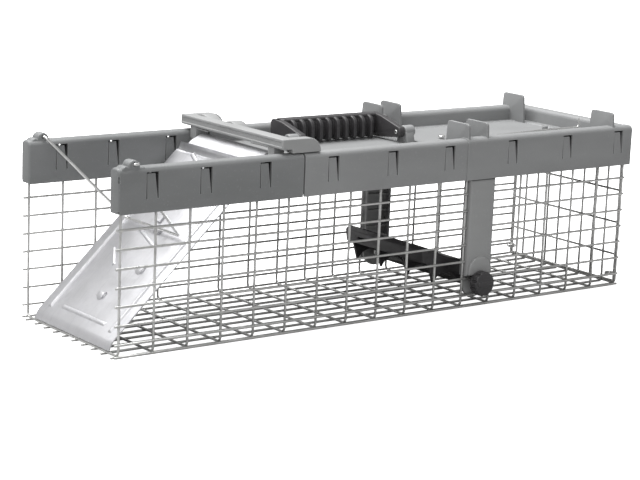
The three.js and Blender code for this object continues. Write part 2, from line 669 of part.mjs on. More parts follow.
// A clip ring that ties the rear panel to a side panel at one corner.
function panelClip(side) {
  return box(CLIP.x, sideRange(side, ...CLIP.y), CLIP.z);
}

// ---------------------------------------------------------------- assembly
const trap = new THREE.Group();
const SIDE_NAMES = [["near", -1], ["far", 1]];

function piece(name, geometry, look) {
  const mesh = new THREE.Mesh(geometry, new THREE.MeshStandardMaterial(look));
  mesh.name = name;
  trap.add(mesh);
}

piece("floor_mesh", floorPanel(), GALVANIZED_WIRE);
piece("rear_mesh", rearPanel(), GALVANIZED_WIRE);
piece("middle_cover", middleCover(), GREY_PLASTIC);
piece("rear_cover", rearCover(), GREY_PLASTIC);
piece("door_yoke", yoke(), LIGHT_PLASTIC);
piece("door_hinge_pin", hingePin(), BRIGHT_STEEL);
piece("door_panel", doorPanel(), GALVANIZED_SHEET);
piece("lock_bail", lockBail(), BRIGHT_STEEL);
piece("carry_handle", handle(), DARK_PLASTIC);
piece("treadle_pan", treadle(), DARK_PLASTIC);
piece("treadle_axle", axle(), DARK_PLASTIC);
piece("treadle_crank", crankArm(), BRIGHT_STEEL);
piece("link_rod", linkRod(), BRIGHT_STEEL);
piece("latch_lever", latchLever(), BRIGHT_STEEL);
piece("tray_screws", trayScrews(), BRIGHT_STEEL);

for (const [name, side] of SIDE_NAMES) {
  piece(`side_mesh_${name}`, sidePanel(side), GALVANIZED_WIRE);
  piece(`front_rail_${name}`, frontRail(side), GREY_PLASTIC);
  piece(`column_${name}`, column(side), LIGHT_PLASTIC);
  piece(`knob_${name}`, knob(side), DARK_PLASTIC);
  piece(`panel_clip_${name}`, panelClip(side), BRIGHT_STEEL);
}
for (const [name, end] of [["front", -1], ["rear", 1]]) {
  const range = handleRange(end, HANDLE_HALF - HANDLE_PIN.inside, HANDLE_HALF + HANDLE_PIN.outside);
  piece(`handle_pin_${name}`, cylinder(HINGE_PIN_R, "x", range, HANDLE_PIVOT, 16), BRIGHT_STEEL);
}

export default trap;
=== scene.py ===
"""Live catch trap: the finished look of every piece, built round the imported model.

Metres, +Z up. The cage lies along X with its door at -X, and stands on Z = 0.
"""

import json
import logging
import math
import random
from contextlib import contextmanager
from dataclasses import dataclass
from enum import Enum
from typing import Callable, Iterator, Sequence

import bmesh
import bpy
from mathutils import Matrix, Vector


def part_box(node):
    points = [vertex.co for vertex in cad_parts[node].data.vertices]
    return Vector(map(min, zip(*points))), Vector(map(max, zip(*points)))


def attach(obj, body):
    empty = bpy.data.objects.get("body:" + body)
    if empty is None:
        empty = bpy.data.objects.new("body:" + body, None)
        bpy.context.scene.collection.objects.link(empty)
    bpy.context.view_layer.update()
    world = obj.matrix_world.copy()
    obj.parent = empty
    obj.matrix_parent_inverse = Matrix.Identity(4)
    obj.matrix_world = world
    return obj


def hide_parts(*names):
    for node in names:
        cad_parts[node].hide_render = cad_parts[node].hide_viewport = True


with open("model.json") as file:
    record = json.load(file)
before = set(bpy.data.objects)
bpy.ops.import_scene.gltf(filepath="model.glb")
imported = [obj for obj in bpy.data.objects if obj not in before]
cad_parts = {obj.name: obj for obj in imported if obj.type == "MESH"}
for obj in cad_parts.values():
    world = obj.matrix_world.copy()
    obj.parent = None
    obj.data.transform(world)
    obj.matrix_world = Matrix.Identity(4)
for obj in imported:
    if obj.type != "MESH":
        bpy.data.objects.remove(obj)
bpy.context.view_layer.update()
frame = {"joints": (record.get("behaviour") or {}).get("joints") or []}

MM = 0.001
EPSILON = 0.02 * MM
LOG = logging.getLogger("live_catch_trap")

Thing = bpy.types.Object
Material = bpy.types.Material
Span = tuple[float, float]
Flat = tuple[float, float]
Point = Sequence[float]
Colour = tuple[float, float, float]
PointTest = Callable[[Vector], bool]
FaceTest = Callable[[Vector, Vector], bool]


class Side(Enum):
    """The two long sides of the trap, by the sign of Y."""

    NEAR = -1
    FAR = 1

    @property
    def word(self) -> str:
        """The word that the side's pieces are named with."""
        return self.name.lower()

    def span(self, low: float, high: float) -> Span:
        """The Y range between two distances from the middle, on this side."""
        return (low, high) if self is Side.FAR else (-high, -low)


class Axis(Enum):
    """The direction in which an outline gets its thickness, with the two that it is drawn in."""

    X = (1, 2, 0)
    Y = (0, 2, 1)

    def place(self, flat: Flat, depth: float) -> Vector:
        """The point of an outline at a depth along the axis."""
        first, second, third = self.value
        point = Vector((0, 0, 0))
        point[first], point[second], point[third] = flat[0], flat[1], depth
        return point


class Slot(Enum):
    """The record's material slots."""

    WIRE = "galvanized_wire"
    SHEET = "galvanized_sheet"
    GREY = "grey_plastic"
    LIGHT = "light_plastic"
    DARK = "dark_plastic"
    STEEL = "bright_steel"


# ------------------------------------------------------------------ the workbench
def pick(*things: Thing) -> None:
    """Select these objects and nothing else. The first is the active one.

    Args:
        things: The objects to select.
    """
    bpy.ops.object.select_all(action="DESELECT")
    for thing in things:
        thing.select_set(True)
    if things:
        bpy.context.view_layer.objects.active = things[0]


@contextmanager
def editing(thing: Thing, mode: str = "FACE") -> Iterator[None]:
    """Hold one object in edit mode with nothing selected.

    Args:
        thing: The object to edit.
        mode: VERT, EDGE or FACE.
    """
    pick(thing)
    bpy.ops.object.mode_set(mode="EDIT")
    bpy.ops.mesh.select_mode(type=mode)
    bpy.ops.mesh.select_all(action="DESELECT")
    yield
    bpy.ops.object.mode_set(mode="OBJECT")


def choose_faces(thing: Thing, test: FaceTest) -> None:
    """Select the faces that pass a test, in edit mode.

    Args:
        thing: The object in edit mode.
        test: Takes a face's centre and normal.
    """
    bpy.ops.mesh.select_mode(type="FACE")
    bpy.ops.mesh.select_all(action="DESELECT")
    mesh = bmesh.from_edit_mesh(thing.data)
    for face in mesh.faces:
        if test(face.calc_center_median(), face.normal):
            face.select_set(True)
    bmesh.update_edit_mesh(thing.data)


def choose_edges(thing: Thing, test: PointTest) -> None:
    """Select the edges whose two ends both pass a test, in edit mode.

    Args:
        thing: The object in edit mode.
        test: Takes an end's place.
    """
    bpy.ops.mesh.select_mode(type="EDGE")
    bpy.ops.mesh.select_all(action="DESELECT")
    mesh = bmesh.from_edit_mesh(thing.data)
    for edge in mesh.edges:
        if all(test(vertex.co) for vertex in edge.verts):
            edge.select_set(True)
    bmesh.update_edit_mesh(thing.data)


def choose_points(thing: Thing, test: PointTest) -> None:
    """Select the vertices that pass a test, in edit mode.

    Args:
        thing: The object in edit mode.
        test: Takes a vertex's place.
    """
    bpy.ops.mesh.select_mode(type="VERT")
    bpy.ops.mesh.select_all(action="DESELECT")
    mesh = bmesh.from_edit_mesh(thing.data)
    for vertex in mesh.verts:
        if test(vertex.co):
            vertex.select_set(True)
    bmesh.update_edit_mesh(thing.data)


def push(vector: Point) -> None:
    """Extrude the selected faces along a vector."""
    bpy.ops.mesh.extrude_region_move(TRANSFORM_OT_translate={"value": vector})


def shift(vector: Point) -> None:
    """Move what is selected in edit mode."""
    bpy.ops.transform.translate(value=vector)


def settle(thing: Thing) -> Thing:
    """Put an object's place, turn and size into its mesh.

    Args:
        thing: The object.

    Returns:
        The same object.
    """
    pick(thing)
    bpy.ops.object.transform_apply(location=True, rotation=True, scale=True)
    return thing


def block(name: str, low: Point, high: Point) -> Thing:
    """Add a box between two corners.

    Args:
        name: The object's name.
        low: The lowest corner.
        high: The highest corner.

    Returns:
        The box.
    """
    pick()
    low, high = Vector(low), Vector(high)
    bpy.ops.mesh.primitive_cube_add(size=1, location=(low + high) / 2)
    thing = bpy.context.object
    thing.name = name
    thing.scale = high - low
    return settle(thing)


def rod(name: str, radius: float, start: Point, end: Point, sides: int = 24) -> Thing:
    """Add a round bar between two points.

    Args:
        name: The object's name.
        radius: The bar's radius.
        start: The middle of its first end.
        end: The middle of its other end.
        sides: How many sides it has.

    Returns:
        The bar.
    """
    pick()
    run = Vector(end) - Vector(start)
    bpy.ops.mesh.primitive_cylinder_add(
        vertices=sides,
        radius=radius,
        depth=run.length,
        location=Vector(start) + run / 2,
        rotation=run.to_track_quat("Z", "Y").to_euler(),
    )
    thing = bpy.context.object
    thing.name = name
    return settle(thing)


def ring(name: str, centre: Point, axis: Point, radius: float, wire: float) -> Thing:
    """Add a ring of round wire.

    Args:
        name: The object's name.
        centre: The ring's centre.
        axis: The direction through the ring.
        radius: The radius of the wire's own middle line.
        wire: The wire's radius.

    Returns:
        The ring.
    """
    pick()
    bpy.ops.mesh.primitive_torus_add(
        major_radius=radius,
        minor_radius=wire,
        major_segments=24,
        minor_segments=10,
        location=centre,
        rotation=Vector(axis).to_track_quat("Z", "Y").to_euler(),
    )
    thing = bpy.context.object
    thing.name = name
    return settle(thing)


def plate(name: str, outline: Sequence[Flat], span: Span, axis: Axis) -> Thing:
    """Cut a plate to an outline: a disc's corners are moved to it, and it is extruded.

    Args:
        name: The object's name.
        outline: The corners in order, in the axis's two flat directions.
        span: Where the plate starts and ends along the axis.
        axis: The direction of its thickness.

    Returns:
        The plate.
    """
    pick()
    bpy.ops.mesh.primitive_circle_add(vertices=len(outline), radius=1, fill_type="NGON")
    thing = bpy.context.object
    thing.name = name
    for vertex, corner in zip(thing.data.vertices, outline):
        vertex.co = axis.place(corner, span[0])
    with editing(thing):
        bpy.ops.mesh.select_all(action="SELECT")
        push(axis.place((0, 0), span[1] - span[0]))
        bpy.ops.mesh.select_all(action="SELECT")
        bpy.ops.mesh.normals_make_consistent(inside=False)
    return thing


def arc(centre: Flat, radius: float, start: float, stop: float, steps: int) -> list[Flat]:
    """Points on an arc.

    Args:
        centre: The arc's centre.
        radius: Its radius.
        start: The angle of its first point, in degrees.
        stop: The angle of its last point, in degrees.
        steps: How many parts it has.

    Returns:
        The points, both ends among them.
    """
    angles = [math.radians(start + (stop - start) * i / steps) for i in range(steps + 1)]
    return [(centre[0] + radius * math.cos(a), centre[1] + radius * math.sin(a)) for a in angles]


def bent_wire(name: str, route: Sequence[Point], radius: float, bend: float, sides: int = 12) -> Thing:
    """Draw a round wire: a disc is extruded along each straight and spun round each bend.

    Args:
        name: The object's name.
        route: The wire's ends and corners.
        radius: The wire's radius.
        bend: The radius of each bend, at the wire's middle.
        sides: How many sides the wire has.

    Returns:
        The wire.
    """
    points = [Vector(point) for point in route]
    heading = (points[1] - points[0]).normalized()
    pick()
    bpy.ops.mesh.primitive_circle_add(
        vertices=sides,
        radius=radius,
        fill_type="NGON",
        location=points[0],
        rotation=heading.to_track_quat("Z", "Y").to_euler(),
    )
    thing = settle(bpy.context.object)
    thing.name = name
    with editing(thing):
        bpy.ops.mesh.select_all(action="SELECT")
        reached = points[0]
        for corner, following in zip(points[1:-1], points[2:]):
            onward = (following - corner).normalized()
            turn = heading.cross(onward).normalized()
            angle = heading.angle(onward)
            setback = bend * math.tan(angle / 2)
            push(corner - heading * setback - reached)
            middle = corner - heading * setback + turn.cross(heading) * bend
            steps = max(3, round(math.degrees(angle) / 12))
            bpy.ops.mesh.spin(steps=steps, angle=-angle, center=middle, axis=turn)
            reached = corner + onward * setback
            heading = onward
        push(points[-1] - reached)
        bpy.ops.mesh.select_all(action="SELECT")
        bpy.ops.mesh.remove_doubles(threshold=EPSILON / 10)
        bpy.ops.mesh.normals_make_consistent(inside=False)
    return thing


def soften(thing: Thing, width: float, segments: int = 2, angle: float = 35) -> Thing:
    """Round every edge that is sharper than an angle.

    Args:
        thing: The object.
        width: The width of the rounding.
        segments: How many faces cross it.
        angle: The least angle that counts as an edge, in degrees.

    Returns:
        The same object.
    """
    pick(thing)
    bpy.ops.object.modifier_add(type="BEVEL")
    modifier = thing.modifiers[-1]
    modifier.width = width
    modifier.segments = segments
    modifier.limit_method = "ANGLE"
    modifier.angle_limit = math.radians(angle)
    bpy.ops.object.modifier_apply(modifier=modifier.name)
    return thing


def wall_up(thing: Thing, thickness: float) -> Thing:
    """Give an open shell a wall that grows inwards.

    Args:
        thing: The object.
        thickness: The wall's thickness.

    Returns:
        The same object.
    """
    pick(thing)
    bpy.ops.object.modifier_add(type="SOLIDIFY")
    modifier = thing.modifiers[-1]
    modifier.thickness = thickness
    modifier.offset = -1
    modifier.use_even_offset = True
    bpy.ops.object.modifier_apply(modifier=modifier.name)
    return thing


def carve(thing: Thing, *tools: Thing, operation: str = "DIFFERENCE") -> Thing:
    """Cut an object by others, or fuse them to it. The others are used up.

    Args:
        thing: The object that stays.
        tools: The objects that cut or are added.
        operation: DIFFERENCE or UNION.

    Returns:
        The first object.
    """
    for tool in tools:
        pick(thing)
        bpy.ops.object.modifier_add(type="BOOLEAN")
        modifier = thing.modifiers[-1]
        modifier.operation = operation
        modifier.object = tool
        modifier.solver = "EXACT"
        bpy.ops.object.modifier_apply(modifier=modifier.name)
        bpy.data.objects.remove(tool)
    return thing


def fuse(thing: Thing, *others: Thing) -> Thing:
    """Make one body of several that overlap."""
    return carve(thing, *others, operation="UNION")


def gather(name: str, things: Sequence[Thing]) -> Thing:
    """Join objects into one, each still its own closed body.

    Args:
        name: The joined object's name.
        things: The objects.

    Returns:
        The joined object.
    """
    pick(*things)
    bpy.ops.object.join()
    joined = bpy.context.object
    joined.name = name
    return joined


def repeat(thing: Thing, offset: Point) -> Thing:
    """Copy an object, with its own mesh, to another place.

    Args:
        thing: The object.
        offset: How far the copy is moved.

    Returns:
        The copy.
    """
    pick(thing)
    bpy.ops.object.duplicate(linked=False)
    copy = bpy.context.object
    copy.location = offset
    return settle(copy)


def volume_sign(thing: Thing) -> float:
    """The signed volume of a mesh, which is positive when its faces point outwards."""
    mesh = bmesh.new()
    mesh.from_mesh(thing.data)
    volume = mesh.calc_volume(signed=True)
    mesh.free()
    return volume


def dress(thing: Thing, body: str, slot: Slot, material: Material, *nodes: str) -> Thing:
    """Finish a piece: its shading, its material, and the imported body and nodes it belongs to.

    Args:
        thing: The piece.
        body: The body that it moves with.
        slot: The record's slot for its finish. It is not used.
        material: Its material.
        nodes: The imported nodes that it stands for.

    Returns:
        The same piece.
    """
    pick(thing)
    if volume_sign(thing) < 0:
        with editing(thing):
            bpy.ops.mesh.select_all(action="SELECT")
            bpy.ops.mesh.flip_normals()
        pick(thing)
    bpy.ops.object.shade_smooth_by_angle(angle=math.radians(32))
    thing.data.materials.clear()
    thing.data.materials.append(material)
    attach(thing, body)
    if nodes:
        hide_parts(*nodes)
    LOG.info("%s: %d faces on %s", thing.name, len(thing.data.polygons), body)
    return thing


def joint_place(name: str) -> Vector:
    """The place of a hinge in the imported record, in metres."""
    return Vector(next(j["pos_m"] for j in frame["joints"] if j["name"] == name))


# ------------------------------------------------------------------ finishes
class Paintwork:
    """One material's node tree, with short calls for what the finishes share."""

    def __init__(self, name: str) -> None:
        """Start a material with a Principled shader.

        Args:
            name: The material's name.
        """
        self.material = bpy.data.materials.new(name)
        self.material.use_nodes = True
        self.tree = self.material.node_tree
        self.surface = self.tree.nodes["Principled BSDF"]
        self.place = self.add("ShaderNodeTexCoord").outputs["Object"]

    def add(self, kind: str, **settings: object) -> bpy.types.Node:
        """Add a node.

        Args:
            kind: The node's type.
            settings: Its properties.

        Returns:
            The node.
        """
        node = self.tree.nodes.new(kind)
        for key, value in settings.items():
            setattr(node, key, value)
        return node

    def feed(self, socket: bpy.types.NodeSocket, value: object) -> None:
        """Set a socket to a number or colour, or link another socket to it.

        Args:
            socket: The socket that takes the value.
            value: A number, a colour or an output socket.
        """
        if isinstance(value, bpy.types.NodeSocket):
            self.tree.links.new(value, socket)
        elif isinstance(value, tuple) and len(value) == 3 and socket.type == "RGBA":
            socket.default_value = (*value, 1)
        else:
            socket.default_value = value

    def set(self, **values: object) -> None:
        """Feed the shader's own sockets, by name with _ for a space."""
        for key, value in values.items():
            self.feed(self.surface.inputs[key.replace("_", " ")], value)

    def noise(self, size: float, detail: float = 3, stretch: Point = (1, 1, 1)) -> bpy.types.NodeSocket:
        """Soft clouds.

        Args:
            size: The size of a cloud, in metres.
            detail: How fine its edges are.
            stretch: How much denser the pattern is along each axis.

        Returns:
            The clouds' value, from 0 to 1.
        """
        mapping = self.add("ShaderNodeMapping")
        self.feed(mapping.inputs["Vector"], self.place)
        mapping.inputs["Scale"].default_value = stretch
        clouds = self.add("ShaderNodeTexNoise")
        self.feed(clouds.inputs["Vector"], mapping.outputs["Vector"])
        clouds.inputs["Scale"].default_value = 1 / size
        clouds.inputs["Detail"].default_value = detail
        return clouds.outputs["Fac"]

    def crystals(self, size: float) -> bpy.types.NodeSocket:
        """Flat cells of random shade, as zinc crystals have.

        Args:
            size: The size of a cell, in metres.

        Returns:
            Each cell's random colour.
        """
        cells = self.add("ShaderNodeTexVoronoi")
        self.feed(cells.inputs["Vector"], self.place)
        cells.inputs["Scale"].default_value = 1 / size
        return cells.outputs["Color"]

    def remap(self, value: object, given: Span, wanted: Span) -> bpy.types.NodeSocket:
        """Stretch a value from one range to another, clamped.

        Args:
            value: The value's socket.
            given: The range it comes in.
            wanted: The range it goes to.

        Returns:
            The new value.
        """
        node = self.add("ShaderNodeMapRange")
        for socket, number in zip(node.inputs, (value, *given, *wanted)):
            self.feed(socket, number)
        return node.outputs["Result"]

    def blend(self, share: object, first: object, second: object) -> bpy.types.NodeSocket:
        """Mix two colours.

        Args:
            share: How much of the second there is.
            first: The first colour.
            second: The second colour.

        Returns:
            The mixed colour.
        """
        node = self.add("ShaderNodeMix", data_type="RGBA")
        colours = [socket for socket in node.inputs if socket.type == "RGBA"]
        self.feed(node.inputs["Factor"], share)
        self.feed(colours[0], first)
        self.feed(colours[1], second)
        return next(socket for socket in node.outputs if socket.type == "RGBA")

    def edges(self, radius: float) -> bpy.types.NodeSocket:
        """How near the surface is to one of its own edges, from 0 to 1.

        Args:
            radius: How far from an edge it is felt, in metres.

        Returns:
            The nearness.
        """
        rounded = self.add("ShaderNodeBevel", samples=4)
        rounded.inputs["Radius"].default_value = radius
        geometry = self.add("ShaderNodeNewGeometry")
        likeness = self.add("ShaderNodeVectorMath", operation="DOT_PRODUCT")
        self.feed(likeness.inputs[0], rounded.outputs["Normal"])
        self.feed(likeness.inputs[1], geometry.outputs["Normal"])
        return self.remap(likeness.outputs["Value"], (1.0, 0.86), (0.0, 1.0))

    def relief(self, height: object, depth: float, under: object = None) -> bpy.types.NodeSocket:
        """A bumpy normal.

        Args:
            height: The height's socket.
            depth: The height of the bumps, in metres.
            under: A normal that this one is laid on.

        Returns:
            The normal.
        """
        node = self.add("ShaderNodeBump")
        node.inputs["Distance"].default_value = depth
        self.feed(node.inputs["Height"], height)
        if under is not None:
            self.feed(node.inputs["Normal"], under)
        return node.outputs["Normal"]


@dataclass(frozen=True)
class Zinc:
    """Galvanised steel: mixed shades of grey, fine crystals and dull spots."""

    name: str
    bright: Colour
    dull: Colour
    metal: float
    roughness: float
    crystal: float
    streak: float
    streak_run: Point = (1, 1, 1)

    def material(self) -> Material:
        """Make the material."""
        work = Paintwork(self.name)
        clouds = work.noise(14 * MM, 4)
        streaks = work.noise(self.streak, 5, self.streak_run)
        cells = work.remap(work.crystals(self.crystal), (0.2, 0.8), (0.0, 0.35))
        cloudy = work.remap(clouds, (0.35, 0.7), (0.0, 0.55))
        shade = work.blend(cloudy, self.bright, self.dull)
        shade = work.blend(cells, shade, self.bright)
        dull_streaks = work.remap(streaks, (0.55, 0.75), (0.0, 0.5))
        shade = work.blend(dull_streaks, shade, self.dull)
        rough = work.remap(clouds, (0.3, 0.7), (self.roughness * 0.8, self.roughness * 1.25))
        normal = work.relief(streaks, 0.05 * MM)
        work.set(Base_Color=shade, Roughness=rough, Metallic=self.metal, Normal=normal)
        return work.material


@dataclass(frozen=True)
class Moulding:
    """Moulded plastic: a fine grain, slow shade changes and paler rubbed edges."""

    name: str
    base: Colour
    deep: Colour
    rubbed: Colour
    roughness: float
    wear: float
    grain: float = 0.5 * MM

    def material(self) -> Material:
        """Make the material."""
        work = Paintwork(self.name)
        flow = work.noise(38 * MM, 3, (0.5, 1, 1.4))
        specks = work.noise(1.6 * MM, 4)
        grain = work.noise(self.grain, 2)
        shade = work.blend(work.remap(flow, (0.35, 0.65), (0.0, 1.0)), self.base, self.deep)
        dust = work.remap(specks, (0.6, 0.8), (0.0, 0.25))
        shade = work.blend(dust, shade, self.rubbed)
        worn = work.remap(work.edges(0.7 * MM), (0.0, 1.0), (0.0, self.wear))
        shade = work.blend(worn, shade, self.rubbed)
        rough = work.remap(specks, (0.3, 0.7), (self.roughness * 0.85, self.roughness * 1.15))
        normal = work.relief(grain, 0.035 * MM)
        normal = work.relief(flow, 0.4 * MM, normal)
        work.set(Base_Color=shade, Roughness=rough, Metallic=0.0, Normal=normal)
        return work.material


@dataclass
class Finishes:
    """Every material of the trap."""

    wire: Material
    sheet: Material
    grey: Material
    middle_grey: Material
    light: Material
    dark: Material
    steel: Material

    @classmethod
    def mixed(cls) -> "Finishes":
        """Mix every finish.

        Returns:
            The finishes.
        """
        wire = Zinc("zinc_wire", (0.66, 0.66, 0.65), (0.3, 0.3, 0.29), 0.85, 0.33, 4 * MM, 3 * MM)
        sheet = Zinc(
            "zinc_sheet", (0.6, 0.6, 0.615), (0.45, 0.45, 0.47), 0.7, 0.42, 6 * MM, 2 * MM, (0.12, 1, 0.12)
        )
        steel = Zinc("bright_steel", (0.78, 0.78, 0.77), (0.45, 0.45, 0.45), 0.92, 0.25, 2 * MM, 2 * MM)
        grey = Moulding(
            "grey_moulding", (0.2, 0.205, 0.207), (0.17, 0.175, 0.176), (0.36, 0.37, 0.37), 0.5, 0.6
        )
        middle = Moulding(
            "grey_cover", (0.26, 0.264, 0.266), (0.225, 0.228, 0.23), (0.42, 0.43, 0.43), 0.5, 0.6
        )
        light = Moulding(
            "pale_moulding", (0.3, 0.304, 0.304), (0.26, 0.262, 0.262), (0.45, 0.45, 0.45), 0.48, 0.6
        )
        dark = Moulding(
            "charcoal", (0.042, 0.04, 0.042), (0.03, 0.029, 0.031), (0.16, 0.155, 0.155), 0.42, 0.55
        )
        return cls(
            wire.material(),
            sheet.material(),
            grey.material(),
            middle.material(),
            light.material(),
            dark.material(),
            steel.material(),
        )


# ------------------------------------------------------------------ the wire cage
@dataclass
class WireCage:
    """The welded cage: a floor, two sides and a rear panel of crossing round wires."""

    finishes: Finishes
    wire: float = 0.86 * MM
    long_pitch: float = 25.4 * MM
    fine_pitch: float = 12.1 * MM
    cells: int = 17
    floor_wires: int = 10
    weld: float = 1.16 * MM
    upright_y: float = 57.95 * MM
    first_row: float = 9.7 * MM
    corner_row: float = 1.9 * MM
    side_rows: int = 8
    panel_top: float = 99.6 * MM
    rear_level: float = 24.2 * MM
    corner_bend: float = 3.4 * MM
    overhang: float = 3.6 * MM
    waver: float = 0.16 * MM
    upright_foot: float = 0.6 * MM
    axle_room: float = 3.0 * MM
    rear_levels: int = 3
    end_dressing: float = 0.35

    def __post_init__(self) -> None:
        """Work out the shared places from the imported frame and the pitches."""
        half = self.cells * self.long_pitch / 2
        self.cross = [-half + i * self.long_pitch for i in range(self.cells + 1)]
        first = -(self.floor_wires - 1) / 2 * self.fine_pitch
        self.lanes = [first + i * self.fine_pitch for i in range(self.floor_wires)]
        self.rows = [self.first_row + i * self.fine_pitch for i in range(self.side_rows)]
        low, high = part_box("column_near")
        self.column = (low.x, high.x)
        self.axle_z = joint_place("treadle_tip").z
        self.chance = random.Random(7)

    def straight(self, start: Point, end: Point) -> Thing:
        """Cut one wire, with its ends dressed smooth.

        Args:
            start: The middle of its first end.
            end: The middle of its other end.

        Returns:
            The wire.
        """
        wire = rod("wire", self.wire, start, end, sides=12)
        return soften(wire, self.wire * self.end_dressing, segments=2, angle=60)

    def stray(self) -> float:
        """A small welding error, the same on every run."""
        return self.chance.uniform(-self.waver, self.waver)

    def floor(self) -> Thing:
        """Weld the floor: lengthwise wires below, and cross wires that turn up at both sides."""
        low = self.cross[0] - self.overhang
        high = self.cross[-1] + self.wire
        lane = self.straight((low, 0, self.wire), (high, 0, self.wire))
        wires = [repeat(lane, (0, y + self.stray(), 0)) for y in self.lanes]
        level = self.wire + self.weld
        top = level + self.corner_bend + self.upright_foot
        route = [(0, -self.upright_y, top), (0, -self.upright_y, level)]
        route += [(x, -y, z) for x, y, z in reversed(route)]
        hoop = bent_wire("hoop", route, self.wire, self.corner_bend)
        wires += [repeat(hoop, (x, 0, 0)) for x in self.cross]
        bpy.data.objects.remove(lane)
        bpy.data.objects.remove(hoop)
        return gather("floor_wires", wires)

    def panel(self, side: Side) -> Thing:
        """Weld one side: uprights inside, lengthwise wires outside, open at the column.

        Args:
            side: The side of the trap.

        Returns:
            The panel.
        """
        y = side.value * self.upright_y
        foot = self.wire + self.weld + self.corner_bend + self.upright_foot
        upright = self.straight((0, y, foot), (0, y, self.panel_top))
        wires = [repeat(upright, (x, 0, 0)) for x in self.cross]
        bpy.data.objects.remove(upright)
        outside = y + side.value * self.weld
        ends = (self.cross[0] - self.overhang, self.cross[-1] + self.wire)
        before = max(x for x in self.cross if x < self.column[0])
        after = min(x for x in self.cross if x > self.column[1])
        parted = [(ends[0], before + self.wire), (after - self.wire, ends[1])]
        below_axle = self.axle_z + 2 * self.wire + self.axle_room
        for z in [self.corner_row, *self.rows]:
            z += self.stray()
            spans = [ends] if z < below_axle else parted
            wires += [self.straight((a, outside, z), (b, outside, z)) for a, b in spans]
        return gather(f"side_wires_{side.word}", wires)

    def rear(self) -> Thing:
        """Weld the rear panel: uprights outside and a few level wires inside."""
        low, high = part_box("rear_mesh")
        x = high.x - self.wire
        reach = -low.y - self.wire
        step = 2 * reach / (self.floor_wires - 1)
        foot = low.z + self.wire * 0.2
        upright = self.straight((x, 0, foot), (x, 0, self.panel_top))
        wires = [repeat(upright, (0, -reach + i * step, 0)) for i in range(self.floor_wires)]
        bpy.data.objects.remove(upright)
        inside = x - self.weld
        levels = [self.rear_level * (i + 1) for i in range(self.rear_levels)]
        levels = [foot + self.wire, *levels, self.panel_top - 2 * self.wire]
        end = reach + self.wire
        wires += [self.straight((inside, -end, z), (inside, end, z)) for z in levels]
        return gather("rear_wires", wires)

    def clip(self, side: Side) -> Thing:
        """Close a wire ring round the corner where the rear panel meets a side."""
        low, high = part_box(f"panel_clip_{side.word}")
        middle = (low + high) / 2
        ring_radius = (high.x - low.x) * 0.95
        band = ring(f"panel_ring_{side.word}", middle, (0, 0, 1), ring_radius, self.wire * 0.8)
        with editing(band, "VERT"):
            choose_points(band, lambda p: p.z > middle.z)
            shift((0, 0, (high.z - low.z) * 0.3))
        return band

    def build(self) -> None:
        """Make every panel and ring, and dress it."""
        dress(self.floor(), "frame", Slot.WIRE, self.finishes.wire, "floor_mesh")
        dress(self.rear(), "frame", Slot.WIRE, self.finishes.wire, "rear_mesh")
        for side in Side:
            panel = self.panel(side)
            dress(panel, "frame", Slot.WIRE, self.finishes.wire, f"side_mesh_{side.word}")
            clip = self.clip(side)
            dress(clip, "frame", Slot.STEEL, self.finishes.steel, f"panel_clip_{side.word}")


# ------------------------------------------------------------------ the top frame
@dataclass(frozen=True)
class RailSection:
    """The hooded channel that every part of the top frame shares."""

    outer: float = 61.5 * MM
    inner: float = 51.0 * MM
    wall: float = 1.5 * MM
    bottom: float = 92.5 * MM
    top: float = 121.1 * MM
    nose: float = 3.6 * MM


@dataclass(frozen=True)
class TongueSize:
    """A snap tongue, and the slits round three sides of it."""

    width: float = 9.0 * MM
    height: float = 17.0 * MM
    below_top: float = 3.2 * MM
    top_slit: float = 1.2 * MM
    thin_slit: float = 0.8 * MM
    wide_slit: float = 2.3 * MM
    lean: float = 0.8 * MM


@dataclass(frozen=True)
class BailSeat:
    """The boss and the bump of a front rail, where the lock bail enters it."""

    inset: Span = (1.6 * MM, 0.7 * MM)
    boss: float = 4.3 * MM
    boss_drop: float = 1.7 * MM
    bump: float = 3.7 * MM
    bump_back: float = 5.6 * MM
    bump_drop: float = 2.4 * MM
    bore: float = 1.35 * MM
    bore_reach: float = 70.0 * MM


@dataclass(frozen=True)
class LugSize:
    """A round lug on the middle cover, and its foot."""

    radius: float = 4.3 * MM
    clearance: float = 0.5 * MM
    past_pin: float = 0.3 * MM
    foot: float = 7.0 * MM
    foot_half: float = 4.2 * MM
    spread: float = 1.5


